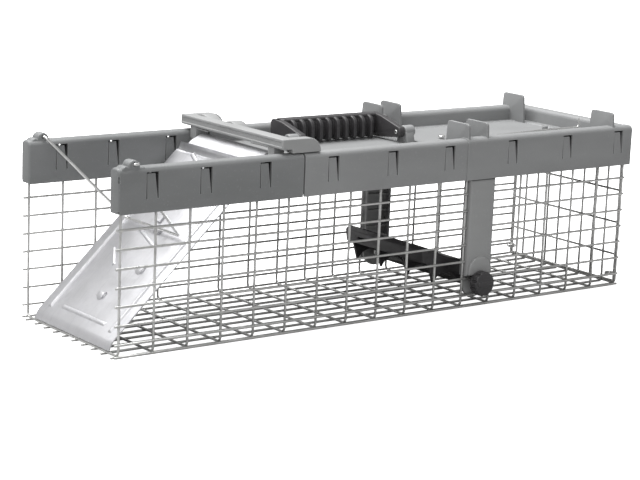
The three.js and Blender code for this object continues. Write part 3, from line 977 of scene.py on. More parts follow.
@dataclass
class TopFrame:
    """The plastic top: two front rails, a middle cover and a rear cover, each hooked on the wires."""

    finishes: Finishes
    section: RailSection = RailSection()
    rear_section: RailSection = RailSection(outer=62.0 * MM, top=121.6 * MM)
    tongue: TongueSize = TongueSize()
    seat: BailSeat = BailSeat()
    lug: LugSize = LugSize()
    end_round: float = 1.6 * MM
    deck_top: float = 111.0 * MM
    deck_wall: float = 1.8 * MM
    end_channel: float = 10.5 * MM
    tab_top: float = 131.5 * MM
    tab_reach: Span = (35.4 * MM, 61.4 * MM)
    tab_half: float = 1.0 * MM
    tab_taper: float = 1.6 * MM
    joint_gap: float = 0.35 * MM
    front_tongues: tuple[float, ...] = (-195.5, -156.0, -110.5)
    middle_tongues: tuple[float, ...] = (-56.0, -6.0, 44.0)
    rear_tongues: tuple[float, ...] = (101.5, 154.0, 205.0)
    tabs: tuple[float, ...] = (62.0, 79.0, 201.0)
    studs: tuple[tuple[float, float], ...] = ((193.0, 3.5), (193.0, -4.5))
    stud_radius: float = 2.2 * MM
    stud_height: float = 3.4 * MM
    stay_x: tuple[float, float, float] = (96 * MM, 135 * MM, 174.5 * MM)
    stay_rise: float = 6.6 * MM

    def rail(self, name: str, side: Side, section: RailSection, span: Span, closed: str = "") -> Thing:
        """Shape one rail: a block with a rounded hood, opened below and hollowed.

        Args:
            name: The object's name.
            side: The side of the trap.
            section: The rail's section.
            span: Where it starts and ends along X.
            closed: "front" or "rear" where that end has a rounded wall.

        Returns:
            The rail.
        """
        near, far = side.span(section.inner, section.outer)
        hood = block(name, (span[0], near, section.bottom), (span[1], far, section.top))
        end = {"front": span[0], "rear": span[1]}.get(closed)
        with editing(hood, "EDGE"):
            bpy.ops.mesh.select_all(action="DESELECT")
            mesh = bmesh.from_edit_mesh(hood.data)
            for edge in mesh.edges:
                ends = [vertex.co for vertex in edge.verts]
                along = abs(ends[0].x - ends[1].x) > EPSILON
                edge.select_set(along and min(p.z for p in ends) > section.top - EPSILON)
            bmesh.update_edit_mesh(hood.data)
            bpy.ops.mesh.bevel(offset=section.nose, segments=7, affect="EDGES")
            if end is not None:
                choose_edges(hood, lambda p: abs(p.x - end) < EPSILON)
                bpy.ops.mesh.bevel(offset=self.end_round, segments=4, affect="EDGES")
            opened = [x for x in span if x != end]
            choose_faces(
                hood,
                lambda c, n: n.z < -0.9 or (abs(n.x) > 0.9 and any(abs(c.x - x) < EPSILON for x in opened)),
            )
            bpy.ops.mesh.delete(type="FACE")
        return wall_up(hood, section.wall)

    def slits(self, section: RailSection, side: Side, x: float, wall_y: float) -> Thing:
        """Shape the cutter for one tongue: a bar with two legs, of which the right one is a wedge.

        Args:
            section: The rail's section.
            side: The side of the trap.
            x: The tongue's middle.
            wall_y: The wall's inner face, as a distance from the middle plane.

        Returns:
            The cutter.
        """
        size = self.tongue
        left, right = x - size.width / 2, x + size.width / 2
        high = section.top - size.below_top
        low, bar = high - size.height, high - size.top_slit
        near, far = side.span(wall_y - 0.3 * MM, wall_y + section.wall + 0.3 * MM)
        cutter = block("slits", (left, near, bar), (right, far, high))
        with editing(cutter):
            for cut_x in (left + size.thin_slit, right - size.wide_slit):
                bpy.ops.mesh.select_all(action="SELECT")
                bpy.ops.mesh.bisect(plane_co=(cut_x, 0, 0), plane_no=(1, 0, 0))
            tongue_left, tongue_right = left + size.thin_slit, right - size.wide_slit
            choose_faces(cutter, lambda c, n: n.z < -0.9 and not tongue_left < c.x < tongue_right)
            push((0, 0, low - bar))
            choose_points(cutter, lambda p: p.z < low + EPSILON and x < p.x < right - size.thin_slit)
            shift((size.wide_slit - size.thin_slit, 0, 0))
        return cutter

    def cut_tongues(
        self, rail: Thing, section: RailSection, side: Side, places: Sequence[float], inner: bool
    ) -> None:
        """Cut the tongues of one wall, and lean each tongue's free edge inwards.

        Args:
            rail: The rail.
            section: Its section.
            side: The side of the trap.
            places: Each tongue's middle along X, in millimetres.
            inner: Whether they are in the rail's inner wall.
        """
        wall_y = section.inner if inner else section.outer - section.wall
        cutters = [self.slits(section, side, x * MM, wall_y) for x in places]
        carve(rail, gather("slits", cutters))
        size = self.tongue
        bar = section.top - size.below_top - size.top_slit
        lean = -side.value * size.lean * (-1 if inner else 1)
        half = size.width / 2

        def free_edge(p: Vector) -> bool:
            """Tell whether a point is on the upper edge of one of the tongues.

            Args:
                p: The point.

            Returns:
                Whether it is.
            """
            on_wall = wall_y - EPSILON < abs(p.y) < wall_y + section.wall + EPSILON
            near = any(
                x * MM - half + size.thin_slit - EPSILON < p.x < x * MM + half - size.wide_slit + EPSILON
                for x in places
            )
            return on_wall and near and p.y * side.value > 0 and abs(p.z - bar) < EPSILON

        with editing(rail, "VERT"):
            choose_points(rail, free_edge)
            shift((0, lean, 0))

    def front_rail(self, side: Side) -> Thing:
        """Make a front rail, with the boss and the bump where the lock bail enters it."""
        low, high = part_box(f"front_rail_{side.word}")
        section = self.section
        span = (low.x, high.x - self.joint_gap)
        rail = self.rail(f"front_rail_{side.word}_shell", side, section, span, closed="front")
        seat = self.seat
        pivot = joint_place("bail_swing")
        near, far = side.span(section.inner + seat.inset[0], section.outer - seat.inset[1])
        boss_z = pivot.z - seat.boss_drop
        boss = rod("boss", seat.boss, (pivot.x, near, boss_z), (pivot.x, far, boss_z), 32)
        bump_x, bump_z = pivot.x - seat.bump_back, section.top - seat.bump_drop
        bump = rod("bump", seat.bump, (bump_x, near, bump_z), (bump_x, far, bump_z), 32)
        saddle = block(
            "saddle",
            (bump_x - 3 * MM, near, bump_z - 4 * MM),
            (pivot.x + 9 * MM, far, bump_z + 2.6 * MM),
        )
        for part in (boss, bump):
            soften(part, 1.1 * MM, 3, 60)
        soften(saddle, 1.8 * MM, 4)
        fuse(rail, boss, bump, saddle)
        reach = seat.bore_reach
        bore = rod("bore", seat.bore, (pivot.x, -reach, pivot.z), (pivot.x, reach, pivot.z), 20)
        notch_y = side.span(section.outer - 1.4 * MM, section.outer + 1 * MM)
        seams = [
            block("seam", (low.x - MM, notch_y[0], z), (low.x + 1.2 * MM, notch_y[1], z + tall))
            for z, tall in ((section.bottom - MM, 3.2 * MM), (section.top - 9 * MM, 4.2 * MM))
        ]
        carve(rail, bore, *seams)
        self.cut_tongues(rail, section, side, self.front_tongues, inner=False)
        self.cut_tongues(rail, section, side, self.front_tongues, inner=True)
        return rail

    def deck(self, name: str, span: Span) -> Thing:
        """Make a deck plate between the rails, with a shallow raised field on it.

        Args:
            name: The object's name.
            span: Where it starts and ends along X.

        Returns:
            The deck.
        """
        reach = self.section.inner + 1.0 * MM
        underside = self.deck_top - self.deck_wall
        board = block(name, (span[0], -reach, underside), (span[1], reach, self.deck_top))
        with editing(board):
            choose_faces(board, lambda c, n: n.z > 0.9)
            bpy.ops.mesh.inset(thickness=7 * MM)
            bpy.ops.mesh.inset(thickness=0.7 * MM, depth=-0.5 * MM)
        return board

    def handle_lug(self, end: int) -> Thing:
        """Shape the round lug that holds one handle pin.

        Args:
            end: -1 at the front end of the handle, 1 at its rear end.

        Returns:
            The lug.
        """
        pivot = joint_place("handle_fold")
        low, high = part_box("carry_handle")
        lug = self.lug
        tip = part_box("handle_pin_rear")[1].x + lug.past_pin
        middle = (low.x + high.x) / 2
        start = high.x + lug.clearance
        span = sorted(middle + end * (x - middle) for x in (start, tip))
        barrel = rod("lug", lug.radius, (span[0], pivot.y, pivot.z), (span[1], pivot.y, pivot.z), 36)
        soften(barrel, 0.9 * MM, 3, 60)
        foot_span = sorted(middle + end * (x - middle) for x in (start, start + lug.foot))
        foot = block(
            "foot",
            (foot_span[0], pivot.y - lug.foot_half, self.deck_top - MM),
            (foot_span[1], pivot.y + lug.foot_half, pivot.z),
        )
        with editing(foot):
            choose_faces(foot, lambda c, n: n.z < -0.9)
            bpy.ops.transform.resize(value=(1, lug.spread, 1))
        soften(foot, 0.5 * MM)
        return fuse(barrel, foot)

    def middle_cover(self) -> Thing:
        """Make the cover between the door and the treadle, with the handle's lugs."""
        low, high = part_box("middle_cover")
        span = (low.x, high.x)
        rail_span = (low.x + self.joint_gap, high.x - self.joint_gap)
        rails = []
        for side in Side:
            rail = self.rail(f"middle_rail_{side.word}", side, self.section, rail_span)
            self.cut_tongues(rail, self.section, side, self.middle_tongues, inner=False)
            rails.append(rail)
        parts = [self.deck("middle_deck", span), self.handle_lug(-1), self.handle_lug(1), self.lever_hanger()]
        return gather("middle_cover_shell", [*rails, *parts])

    def lever_hanger(self) -> Thing:
        """Hang the post that the latch lever turns on under the deck."""
        low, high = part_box("latch_lever")
        pivot = joint_place("latch_tilt")
        start = high.y + 0.4 * MM
        post = block(
            "post",
            (pivot.x - 4 * MM, start, pivot.z - 4 * MM),
            (pivot.x + 4 * MM, start + 2.4 * MM, self.deck_top - MM),
        )
        soften(post, 0.6 * MM)
        pin = rod("pin", 1.5 * MM, (pivot.x, low.y - MM, pivot.z), (pivot.x, start + MM, pivot.z), 20)
        return fuse(post, soften(pin, 0.3 * MM, 2, 60))

    def tab(self, x: float, side: Side) -> Thing:
        """Shape one upright tab across a rear rail: tapered, with round upper corners.

        Args:
            x: Its middle along X.
            side: The side of the trap.

        Returns:
            The tab.
        """
        near, far = side.span(*self.tab_reach)
        lean, corner = self.tab_taper, 2.6 * MM
        outline = [(near, self.deck_top - MM), (far, self.deck_top - MM)]
        outline += arc((far - lean - corner, self.tab_top - corner), corner, 0, 90, 6)
        outline += arc((near + lean + corner, self.tab_top - corner), corner, 90, 180, 6)
        upright = plate("tab", outline, (x - self.tab_half, x + self.tab_half), Axis.X)
        return soften(upright, 0.45 * MM, 3, 50)

    def rear_end(self, section: RailSection, x1: float) -> Thing:
        """Shape the channel across the rear end, whose inner wall stands on the deck.

        Args:
            section: The rail's section.
            x1: The rear face.

        Returns:
            The channel.
        """
        x0 = x1 - self.end_channel
        reach = section.inner + section.nose
        face = x1 - 0.05 * MM
        hood = block("rear_hood", (x0, -reach, section.bottom), (face, reach, section.top))
        with editing(hood, "EDGE"):
            choose_edges(hood, lambda p: p.z > section.top - EPSILON)
            bpy.ops.mesh.bevel(offset=section.nose, segments=7, affect="EDGES")
            choose_faces(hood, lambda c, n: n.z < -0.9)
            bpy.ops.mesh.delete(type="FACE")
        wall_up(hood, section.wall)
        far = reach + MM
        way_top = self.deck_top - self.deck_wall
        way = block("way", (x0 - MM, -far, section.bottom - MM), (x1 - section.wall, far, way_top))
        return carve(hood, way)

    def rear_cover(self) -> Thing:
        """Make the rear cover: a tray with channels on three sides and six tabs."""
        low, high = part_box("rear_cover")
        section = self.rear_section
        rails = []
        for side in Side:
            span = (low.x + self.joint_gap, high.x)
            rail = self.rail(f"rear_rail_{side.word}", side, section, span, closed="rear")
            self.cut_tongues(rail, section, side, self.rear_tongues, inner=False)
            rails.append(rail)
        deck = self.deck("rear_deck", (low.x, high.x - self.end_channel + MM))
        tabs = [self.tab(x * MM, side) for side in Side for x in self.tabs]
        studs = []
        for x, y in self.studs:
            foot = Vector((x * MM, y * MM, self.deck_top - MM))
            stud = rod("stud", self.stud_radius, foot, foot + Vector((0, 0, self.stud_height)), 24)
            studs.append(soften(stud, 0.8 * MM, 4, 60))
        return gather("rear_cover_shell", [*rails, self.rear_end(section, high.x), deck, *tabs, *studs])

    def tray_wire(self) -> Thing:
        """Bend the thin wire that lies along the near rear rail and turns up at its end."""
        start, middle, end = self.stay_x
        y = -self.rear_section.inner
        z = self.rear_section.top - 0.2 * MM
        route = [
            (start, y, z - 0.9 * MM),
            (middle, y, z),
            (end, y, z),
            (end, y, z + self.stay_rise),
        ]
        return bent_wire("tray_wire", route, 0.75 * MM, 2 * MM)

    def screws(self) -> Thing:
        """Make the pan-head screw on the tray, with a cross recess."""
        low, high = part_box("tray_screws")
        middle = (low + high) / 2
        radius = (high.x - low.x) / 2
        head = rod("tray_screw_head", radius, (middle.x, middle.y, low.z), (middle.x, middle.y, high.z), 32)
        soften(head, 0.8 * MM, 4, 60)
        arm, half = 1.7 * MM, 0.35 * MM
        for dx, dy in ((arm, half), (half, arm)):
            slot = block(
                "slot",
                (middle.x - dx, middle.y - dy, high.z - 0.9 * MM),
                (middle.x + dx, middle.y + dy, high.z + MM),
            )
            carve(head, slot)
        return head

    def build(self) -> None:
        """Make the rails, covers and the small metal on them, and dress them."""
        for side in Side:
            name = f"front_rail_{side.word}"
            dress(self.front_rail(side), "frame", Slot.GREY, self.finishes.grey, name)
        dress(self.middle_cover(), "frame", Slot.GREY, self.finishes.middle_grey, "middle_cover")
        dress(self.rear_cover(), "frame", Slot.GREY, self.finishes.middle_grey, "rear_cover")
        dress(self.tray_wire(), "frame", Slot.STEEL, self.finishes.steel)
        dress(self.screws(), "frame", Slot.STEEL, self.finishes.steel, "tray_screws")


# ------------------------------------------------------------------ the crossbar
@dataclass
class Crossbar:
    """The bar over the door hinge, with its arms, ears and two rounded housings."""

    finishes: Finishes
    depth: float = 10.0 * MM
    foot: float = 124.2 * MM
    top: float = 131.0 * MM
    reach: float = 60.5 * MM
    arm_inner: float = 53.0 * MM
    arm_end: float = -66.0 * MM
    rail_top: float = 121.45 * MM
    ear: Span = (42.5 * MM, 49.5 * MM)
    ear_radius: float = 4.2 * MM
    housings: tuple[tuple[float, float], ...] = ((46.0, 13.0), (12.0, 10.5))
    leaves: tuple[Span, ...] = ((29.0, 50.0), (-44.0, -22.0))
    wall: float = 2.0 * MM
    ceiling: float = 3.2 * MM
    ear_bore: float = 1.85 * MM
    housing_height: float = 7.6 * MM
    housing_drop: float = 6.3 * MM
    housing_depth: float = 9.7 * MM
    leaf_depth: Span = (0.4 * MM, 3.4 * MM)
    leaf_drop: Span = (1.5 * MM, 0.5 * MM)

    def __post_init__(self) -> None:
        """Take the bar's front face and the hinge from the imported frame."""
        self.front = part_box("door_yoke")[0].x
        self.rear = self.front + self.depth
        self.hinge = joint_place("door_swing")

    def bar(self) -> Thing:
        """Shape the bar: hollow below, with a framed front face."""
        bar = block("bar", (self.front, -self.reach, self.foot), (self.rear, self.reach, self.top))
        with editing(bar):
            choose_faces(bar, lambda c, n: n.x < -0.9)
            bpy.ops.mesh.inset(thickness=1.5 * MM)
            bpy.ops.mesh.inset(thickness=0.35 * MM, depth=-0.45 * MM)
        soften(bar, 0.7 * MM, 3, 60)
        inner = self.ear[0] - 0.3 * MM
        hollow = block(
            "hollow",
            (self.front + self.wall, -inner, self.foot - MM),
            (self.rear + MM, inner, self.top - self.ceiling),
        )
        return carve(bar, hollow)

    def arm(self, side: Side) -> Thing:
        """Shape the arm that rests on a rail and rounds off behind the bar.

        Args:
            side: The side of the trap.

        Returns:
            The arm.
        """
        height = self.top - self.rail_top
        start = self.rear - self.wall
        outline = [(start, self.rail_top), (self.arm_end, self.rail_top)]
        outline += arc((self.arm_end - height, self.rail_top), height, 8, 90, 10)
        outline.append((start, self.top))
        arm = plate("arm", outline, side.span(self.arm_inner, self.reach), Axis.Y)
        return soften(arm, 0.8 * MM, 3, 50)

    def hinge_ear(self, side: Side) -> Thing:
        """Shape the ear that holds one end of the hinge pin.

        Args:
            side: The side of the trap.

        Returns:
            The ear.
        """
        r = self.ear_radius
        x, z = self.hinge.x, self.hinge.z
        ear_top = self.foot + self.wall
        outline = [(x - r, ear_top), *arc((x, z), r, 180, 360, 16), (x + r, ear_top)]
        ear = plate("ear", outline, side.span(*self.ear), Axis.Y)
        soften(ear, 0.4 * MM, 2, 50)
        ends = side.span(self.ear[0] - MM, self.ear[1] + MM)
        bore = rod("bore", self.ear_bore, (x, ends[0], z), (x, ends[1], z))
        return carve(ear, bore)

    def housing(self, middle: float, half: float) -> Thing:
        """Shape one rounded housing behind the bar.

        Args:
            middle: Its middle along Y.
            half: Half its width.

        Returns:
            The housing.
        """
        height, low = self.housing_height, self.top - self.housing_drop
        turns = [math.radians(180 * i / 16) for i in range(17)]
        outline = [(middle + half * math.cos(a), low + height * math.sin(a)) for a in turns]
        start = self.rear - 2.5 * MM
        hood = plate("housing", outline, (start, start + self.housing_depth), Axis.X)
        with editing(hood):
            choose_faces(hood, lambda c, n: n.x > 0.9)
            bpy.ops.mesh.inset(thickness=2 * MM)
            bpy.ops.mesh.inset(thickness=0.4 * MM, depth=-1.2 * MM)
        return soften(hood, 0.9 * MM, 3, 50)

    def leaf_springs(self) -> Thing:
        """Make the two bright leaf springs under the bar's front edge."""
        leaves = []
        for low, high in self.leaves:
            leaf = block(
                "leaf",
                (self.front + self.leaf_depth[0], low * MM, self.foot - self.leaf_drop[0]),
                (self.front + self.leaf_depth[1], high * MM, self.foot - self.leaf_drop[1]),
            )
            with editing(leaf):
                choose_faces(leaf, lambda c, n: abs(n.y) > 0.9)
                bpy.ops.transform.resize(value=(0.6, 1, 0.7))
            leaves.append(soften(leaf, 0.3 * MM, 2))
        return gather("leaf_springs", leaves)

    def build(self) -> None:
        """Make the crossbar, its springs and the hinge pin."""
        arms = [self.arm(side) for side in Side]
        ears = [self.hinge_ear(side) for side in Side]
        hoods = [self.housing(middle * MM, half * MM) for middle, half in self.housings]
        crossbar = gather("crossbar", [fuse(self.bar(), *arms, *ears), *hoods])
        dress(crossbar, "frame", Slot.LIGHT, self.finishes.light, "door_yoke")
        dress(self.leaf_springs(), "frame", Slot.STEEL, self.finishes.steel)
        low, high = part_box("door_hinge_pin")
        x, z = self.hinge.x, self.hinge.z
        pin = rod("hinge_pin", (high.x - low.x) / 2, (x, low.y, z), (x, high.y, z), 28)
        dress(soften(pin, 0.4 * MM, 3, 60), "frame", Slot.STEEL, self.finishes.steel, "door_hinge_pin")


# ------------------------------------------------------------------ the door
@dataclass
class Door:
    """The sloping sheet door: a lip, pressed ribs, louvres and a rolled hinge edge."""

    finishes: Finishes
    slope: float = 43.5
    foot: Flat = (-214.0 * MM, 8.5 * MM)
    length: float = 150.0 * MM
    half: float = 47.5 * MM
    neck: float = 156.0 * MM
    neck_half: float = 40.0 * MM
    sheet: float = 1.0 * MM
    knuckle: float = 3.0 * MM
    lip_foot: Flat = (-216.4 * MM, 3.3 * MM)
    shoulder: float = 6.0 * MM
    ribs: tuple[tuple[float, float, float, float, float, float], ...] = (
        (7, -38, 121, -38, 4.6, 1.1),
        (7, 38, 121, 38, 4.6, 1.1),
        (9, -27, 9, 24, 3.6, 1.0),
        (50, 12, 60, 24, 3.2, 0.9),
        (72, -10, 80, 15, 3.4, 0.9),
        (119, -30, 145, 26, 4.0, 0.9),
        (119, 30, 145, -26, 4.0, 0.9),
    )
    louvres: tuple[tuple[float, float, int], ...] = ((28, -2, 1), (54, -18, 1), (84, -4, -1), (92, 4, -1))
    louvre_radius: float = 4.6 * MM
    louvre_rise: float = 2.3 * MM

    def along(self, distance: float) -> Flat:
        """The X and Z of a point on the sheet's middle, by its distance up the slope."""
        angle = math.radians(self.slope)
        return (self.foot[0] + distance * math.cos(angle), self.foot[1] + distance * math.sin(angle))

    def strip(self, name: str, line: Sequence[Flat], half: float) -> Thing:
        """Bend a strip of sheet along a line in X and Z.

        Args:
            name: The object's name.
            line: The line of the sheet's middle.
            half: Half the strip's width along Y.

        Returns:
            The strip.
        """
        points = [Vector(p) for p in line]
        runs = [(b - a).normalized() for a, b in zip(points, points[1:])]
        normals = [Vector((-run.y, run.x)) for run in runs]
        left, right = [], []
        for i, point in enumerate(points):
            before, after = normals[max(i - 1, 0)], normals[min(i, len(normals) - 1)]
            mean = (before + after).normalized()
            offset = mean * (self.sheet / 2 / mean.dot(before))
            left.append(tuple(point + offset))
            right.append(tuple(point - offset))
        return plate(name, [*left, *reversed(right)], (-half, half), Axis.Y)

    def lay_on_slope(self, thing: Thing) -> Thing:
        """Move a piece from the flat bench (X up the slope, Z outwards) onto the sheet."""
        thing.rotation_euler = (0, -math.radians(self.slope), 0)
        thing.location = (self.foot[0], 0, self.foot[1])
        return settle(thing)

    def body(self) -> Thing:
        """Fold the main sheet, its lip and its neck, and roll the hinge edge."""
        hinge = joint_place("door_swing")
        bend = [self.lip_foot, (self.foot[0] - 0.5 * MM, self.foot[1] - 1.2 * MM), self.along(1.3 * MM)]
        main = self.strip("door_sheet", [*bend, self.along(self.length)], self.half)
        top = self.along(self.length)
        with editing(main, "EDGE"):
            side_edge = self.half - EPSILON
            choose_edges(main, lambda p: math.dist((p.x, p.z), top) < self.sheet and abs(p.y) > side_edge)
            bpy.ops.mesh.bevel(offset=self.shoulder, segments=6, affect="EDGES")
        roll = self.knuckle - self.sheet / 2
        rolled = [
            (hinge.x + roll * math.cos(a), hinge.z + roll * math.sin(a))
            for a in (math.radians(125 - 300 * i / 18) for i in range(19))
        ]
        neck = self.strip(
            "neck", [self.along(self.length - 1.5 * MM), self.along(self.neck), *rolled], self.neck_half
        )
        tail_span = (34 * MM, 39 * MM)
        tail = plate(
            "tail",
            [
                (hinge.x + 1.6 * MM, hinge.z - 3.2 * MM),
                (hinge.x + 3.2 * MM, hinge.z - 1.4 * MM),
                (hinge.x + 9 * MM, hinge.z - 8 * MM),
                (hinge.x + 7.6 * MM, hinge.z - 9.4 * MM),
            ],
            tail_span,
            Axis.Y,
        )
        soften(main, 0.25 * MM, 2, 50)
        return gather("door_body", [main, neck, soften(tail, 0.3 * MM)])

    def rib(self, start: Flat, end: Flat, width: float, height: float) -> Thing:
        """Press one long rounded rib into the sheet.

        Args:
            start: Its first end on the flat bench.
            end: Its other end.
            width: Its width.
            height: How far it stands out of the sheet.

        Returns:
            The rib.
        """
        run = Vector(end) - Vector(start)
        half = run.length / 2 + width / 2
        base = self.sheet / 2 - 0.3 * MM
        bar = block("rib", (-half, -width / 2, base), (half, width / 2, self.sheet / 2 + height))
        with editing(bar, "EDGE"):
            choose_faces(bar, lambda c, n: n.z > 0.9)
            bpy.ops.transform.resize(value=((half - width * 0.35) / half, 0.42, 1))
            bpy.ops.mesh.select_mode(type="EDGE")
            choose_edges(bar, lambda p: abs(abs(p.y) - width / 2) < EPSILON and p.z < base + EPSILON)
        soften(bar, height * 0.42, 4, 20)
        bar.rotation_euler = (0, 0, math.atan2(run.y, run.x))
        bar.location = (*(Vector(start) + run / 2), 0)
        return self.lay_on_slope(settle(bar))

    def louvre(self, distance: float, y: float, way: int) -> tuple[Thing, Thing]:
        """Press one louvre: half a dome, open up the slope, over a slot.

        Args:
            distance: Its mouth, up the slope.
            y: Its middle.
            way: 1 where the dome stands outwards, -1 where it stands inwards.

        Returns:
            The dome, and the cutter of the slot under it.
        """
        radius, rise = self.louvre_radius, self.louvre_rise
        pick()
        bpy.ops.mesh.primitive_uv_sphere_add(segments=32, ring_count=16, radius=radius)
        dome = bpy.context.object
        dome.scale = (1.15, 1, rise / radius)
        settle(dome)
        with editing(dome):
            bpy.ops.mesh.select_all(action="SELECT")
            bpy.ops.mesh.bisect(plane_co=(0, 0, 0), plane_no=(1, 0, 0), clear_outer=True)
            bpy.ops.mesh.select_all(action="SELECT")
            bpy.ops.mesh.bisect(plane_co=(0, 0, 0), plane_no=(0, 0, way), clear_inner=True)
        wall_up(dome, 0.5 * MM)
        dome.location = (distance, y, way * self.sheet * 0.4)
        self.lay_on_slope(settle(dome))
        slot = block(
            "slot",
            (distance - radius * 0.7, y - radius * 0.82, -2 * self.sheet),
            (distance + 1.4 * MM, y + radius * 0.82, 2 * self.sheet),
        )
        return dome, self.lay_on_slope(slot)

    def build(self) -> None:
        """Make the door with its ribs and louvres."""
        body = self.body()
        pressings = []
        for s0, y0, s1, y1, width, height in self.ribs:
            pressings.append(self.rib((s0 * MM, y0 * MM), (s1 * MM, y1 * MM), width * MM, height * MM))
        for distance, y, way in self.louvres:
            dome, slot = self.louvre(distance * MM, y * MM, way)
            carve(body, slot)
            pressings.append(dome)
        door = gather("door_sheet_pressed", [body, *pressings])
        dress(door, "door", Slot.SHEET, self.finishes.sheet, "door_panel")


@dataclass
class LockBail:
    """The wire bail that drops behind the door and locks it."""

    finishes: Finishes
    wire: float = 1.0 * MM
    arm: float = 75.3 * MM
    slope: float = 43.5
    top_y: float = 49.8 * MM
    rod_y: float = 33.0 * MM
    end_y: float = 60.4 * MM
    bend: float = 3.2 * MM
    tip: float = 3.0 * MM
    tip_out: float = 0.5 * MM
    tip_in: float = 3.0 * MM
    tip_bend: float = 1.2 * MM

    def build(self) -> None:
        """Bend the bail, with a short bent end outside each rail."""
        pivot = joint_place("bail_swing")
        angle = math.radians(self.slope)
        low = pivot + Vector((math.sin(angle), 0, -math.cos(angle))) * self.arm
        half = [(pivot.x, self.end_y, pivot.z), (pivot.x, self.top_y, pivot.z), (low.x, self.rod_y, low.z)]
        route = [*half, *[(x, -y, z) for x, y, z in reversed(half)]]
        wire = bent_wire("bail_wire", route, self.wire, self.bend, 14)
        ends = []
        for side in Side:
            y = side.value * (self.end_y + self.tip_out)
            inside = side.value * (self.end_y - self.tip_in)
            turned = [(pivot.x + self.tip, y, pivot.z), (pivot.x, y, pivot.z), (pivot.x, inside, pivot.z)]
            ends.append(bent_wire("bail_end", turned, self.wire * 0.97, self.tip_bend))
        bail = gather("lock_bail_wire", [wire, *ends])
        dress(bail, "bail", Slot.STEEL, self.finishes.steel, "lock_bail")


# ------------------------------------------------------------------ the handle
@dataclass
class CarryHandle:
    """The fold-down handle: a finned grip between two arms."""

    finishes: Finishes
    arm_width: float = 5.0 * MM
    boss: float = 4.0 * MM
    bore: float = 1.85 * MM
    fins: int = 10
    fin_half: float = 1.45 * MM
    grip_low: Flat = (19.5 * MM, 111.8 * MM)
    socket_x: Span = (1.2 * MM, 4.0 * MM)
    socket_y: Span = (7.5 * MM, 3.8 * MM)
    socket_deep: float = 2.6 * MM

    def __post_init__(self) -> None:
        """Take the handle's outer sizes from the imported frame."""
        low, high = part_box("carry_handle")
        self.middle = (low.x + high.x) / 2
        self.end = (high.x - low.x) / 2
        self.y = (self.grip_low[0], high.y)
        self.z = (self.grip_low[1], high.z)
        self.pivot = joint_place("handle_fold")

    def fin(self) -> Thing:
        """Shape one fin, round at its front and top."""
        (y0, y1), (z0, z1) = self.y, self.z
        outline = [(y1, z0 + MM), (y1 - MM, z0)]
        outline += arc((y0 + 2.5 * MM, z0 + 2.5 * MM), 2.5 * MM, 270, 180, 5)
        outline += arc((y0 + 6 * MM, z1 - 6.6 * MM), 6 * MM, 180, 90, 8)
        outline += [(y1 - MM, z1 - 0.6 * MM), (y1, z1 - 1.6 * MM)]
        fin = plate("fin", outline, (self.middle - self.fin_half, self.middle + self.fin_half), Axis.X)
        return soften(fin, 0.7 * MM, 3, 50)

    def arm(self, end: int) -> Thing:
        """Shape one arm: a pin boss that widens to the grip's end.

        Args:
            end: -1 for the front arm, 1 for the rear one.

        Returns:
            The arm.
        """
        (y0, y1), (z0, z1) = self.y, self.z
        y, z = self.pivot.y, self.pivot.z
        outline = arc((y, z), self.boss, 250, 110, 12)
        outline += [(y0 + MM, z1 - MM), *arc((y1 - 3 * MM, z1 - 3 * MM), 3 * MM, 90, 0, 5)]
        outline += [*arc((y1 - 2 * MM, z0 + 2 * MM), 2 * MM, 0, -90, 4), (y0 + 2 * MM, z0)]
        span = sorted(self.middle + end * reach for reach in (self.end, self.end - self.arm_width))
        arm = soften(plate("arm", outline, span, Axis.X), 0.7 * MM, 3, 50)
        bore = rod("bore", self.bore, (-2 * self.end, y, z), (2 * self.end, y, z))
        return carve(arm, bore)

    def grip(self) -> Thing:
        """Shape the grip: a core, a spine along its top and evenly spaced fins."""
        (y0, y1), (z0, z1) = self.y, self.z
        inner = self.end - self.arm_width + 0.6 * MM
        x0, x1 = self.middle - inner, self.middle + inner
        core = block("core", (x0, y0 + 5 * MM, z0 + 1.6 * MM), (x1, y1 - 1.6 * MM, z1 - 2 * MM))
        soften(core, 2 * MM, 4)
        spine = block("spine", (x0, y0 + 5.2 * MM, z1 - 3 * MM), (x1, y1, z1))
        soften(spine, 1.3 * MM, 4)
        pitch = 2 * inner / (self.fins + 1)
        pattern = self.fin()
        fins = [repeat(pattern, (-inner + pitch * (i + 1), 0, 0)) for i in range(self.fins)]
        bpy.data.objects.remove(pattern)
        return gather("grip", [core, spine, *fins])

    def build(self) -> None:
        """Make the handle and its two pins."""
        front, rear = self.arm(-1), self.arm(1)
        (_, y1), (_, z1) = self.y, self.z
        front_x = self.middle - self.end
        socket = block(
            "socket",
            (front_x + self.socket_x[0], y1 - self.socket_y[0], z1 - self.socket_deep),
            (front_x + self.socket_x[1], y1 - self.socket_y[1], z1 + MM),
        )
        carve(front, socket)
        handle = gather("finned_handle", [self.grip(), front, rear])
        dress(handle, "handle", Slot.DARK, self.finishes.dark, "carry_handle")
        for word in ("front", "rear"):
            low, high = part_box(f"handle_pin_{word}")
            y, z = self.pivot.y, self.pivot.z
            pin = rod(f"handle_pivot_{word}", (high.y - low.y) / 2, (low.x, y, z), (high.x, y, z), 28)
            soften(pin, 0.4 * MM, 3, 60)
            dress(pin, "frame", Slot.STEEL, self.finishes.steel, f"handle_pin_{word}")


# ------------------------------------------------------------------ the treadle
@dataclass(frozen=True)
class KnobSize:
    """A knob's flutes and the bar across its face."""

    flutes: int = 10
    flute: float = 1.8 * MM
    face: float = 1.2 * MM
    bar_half: float = 1.7 * MM
    bar_inset: float = 2.0 * MM
    bore_depth: float = 4.4 * MM


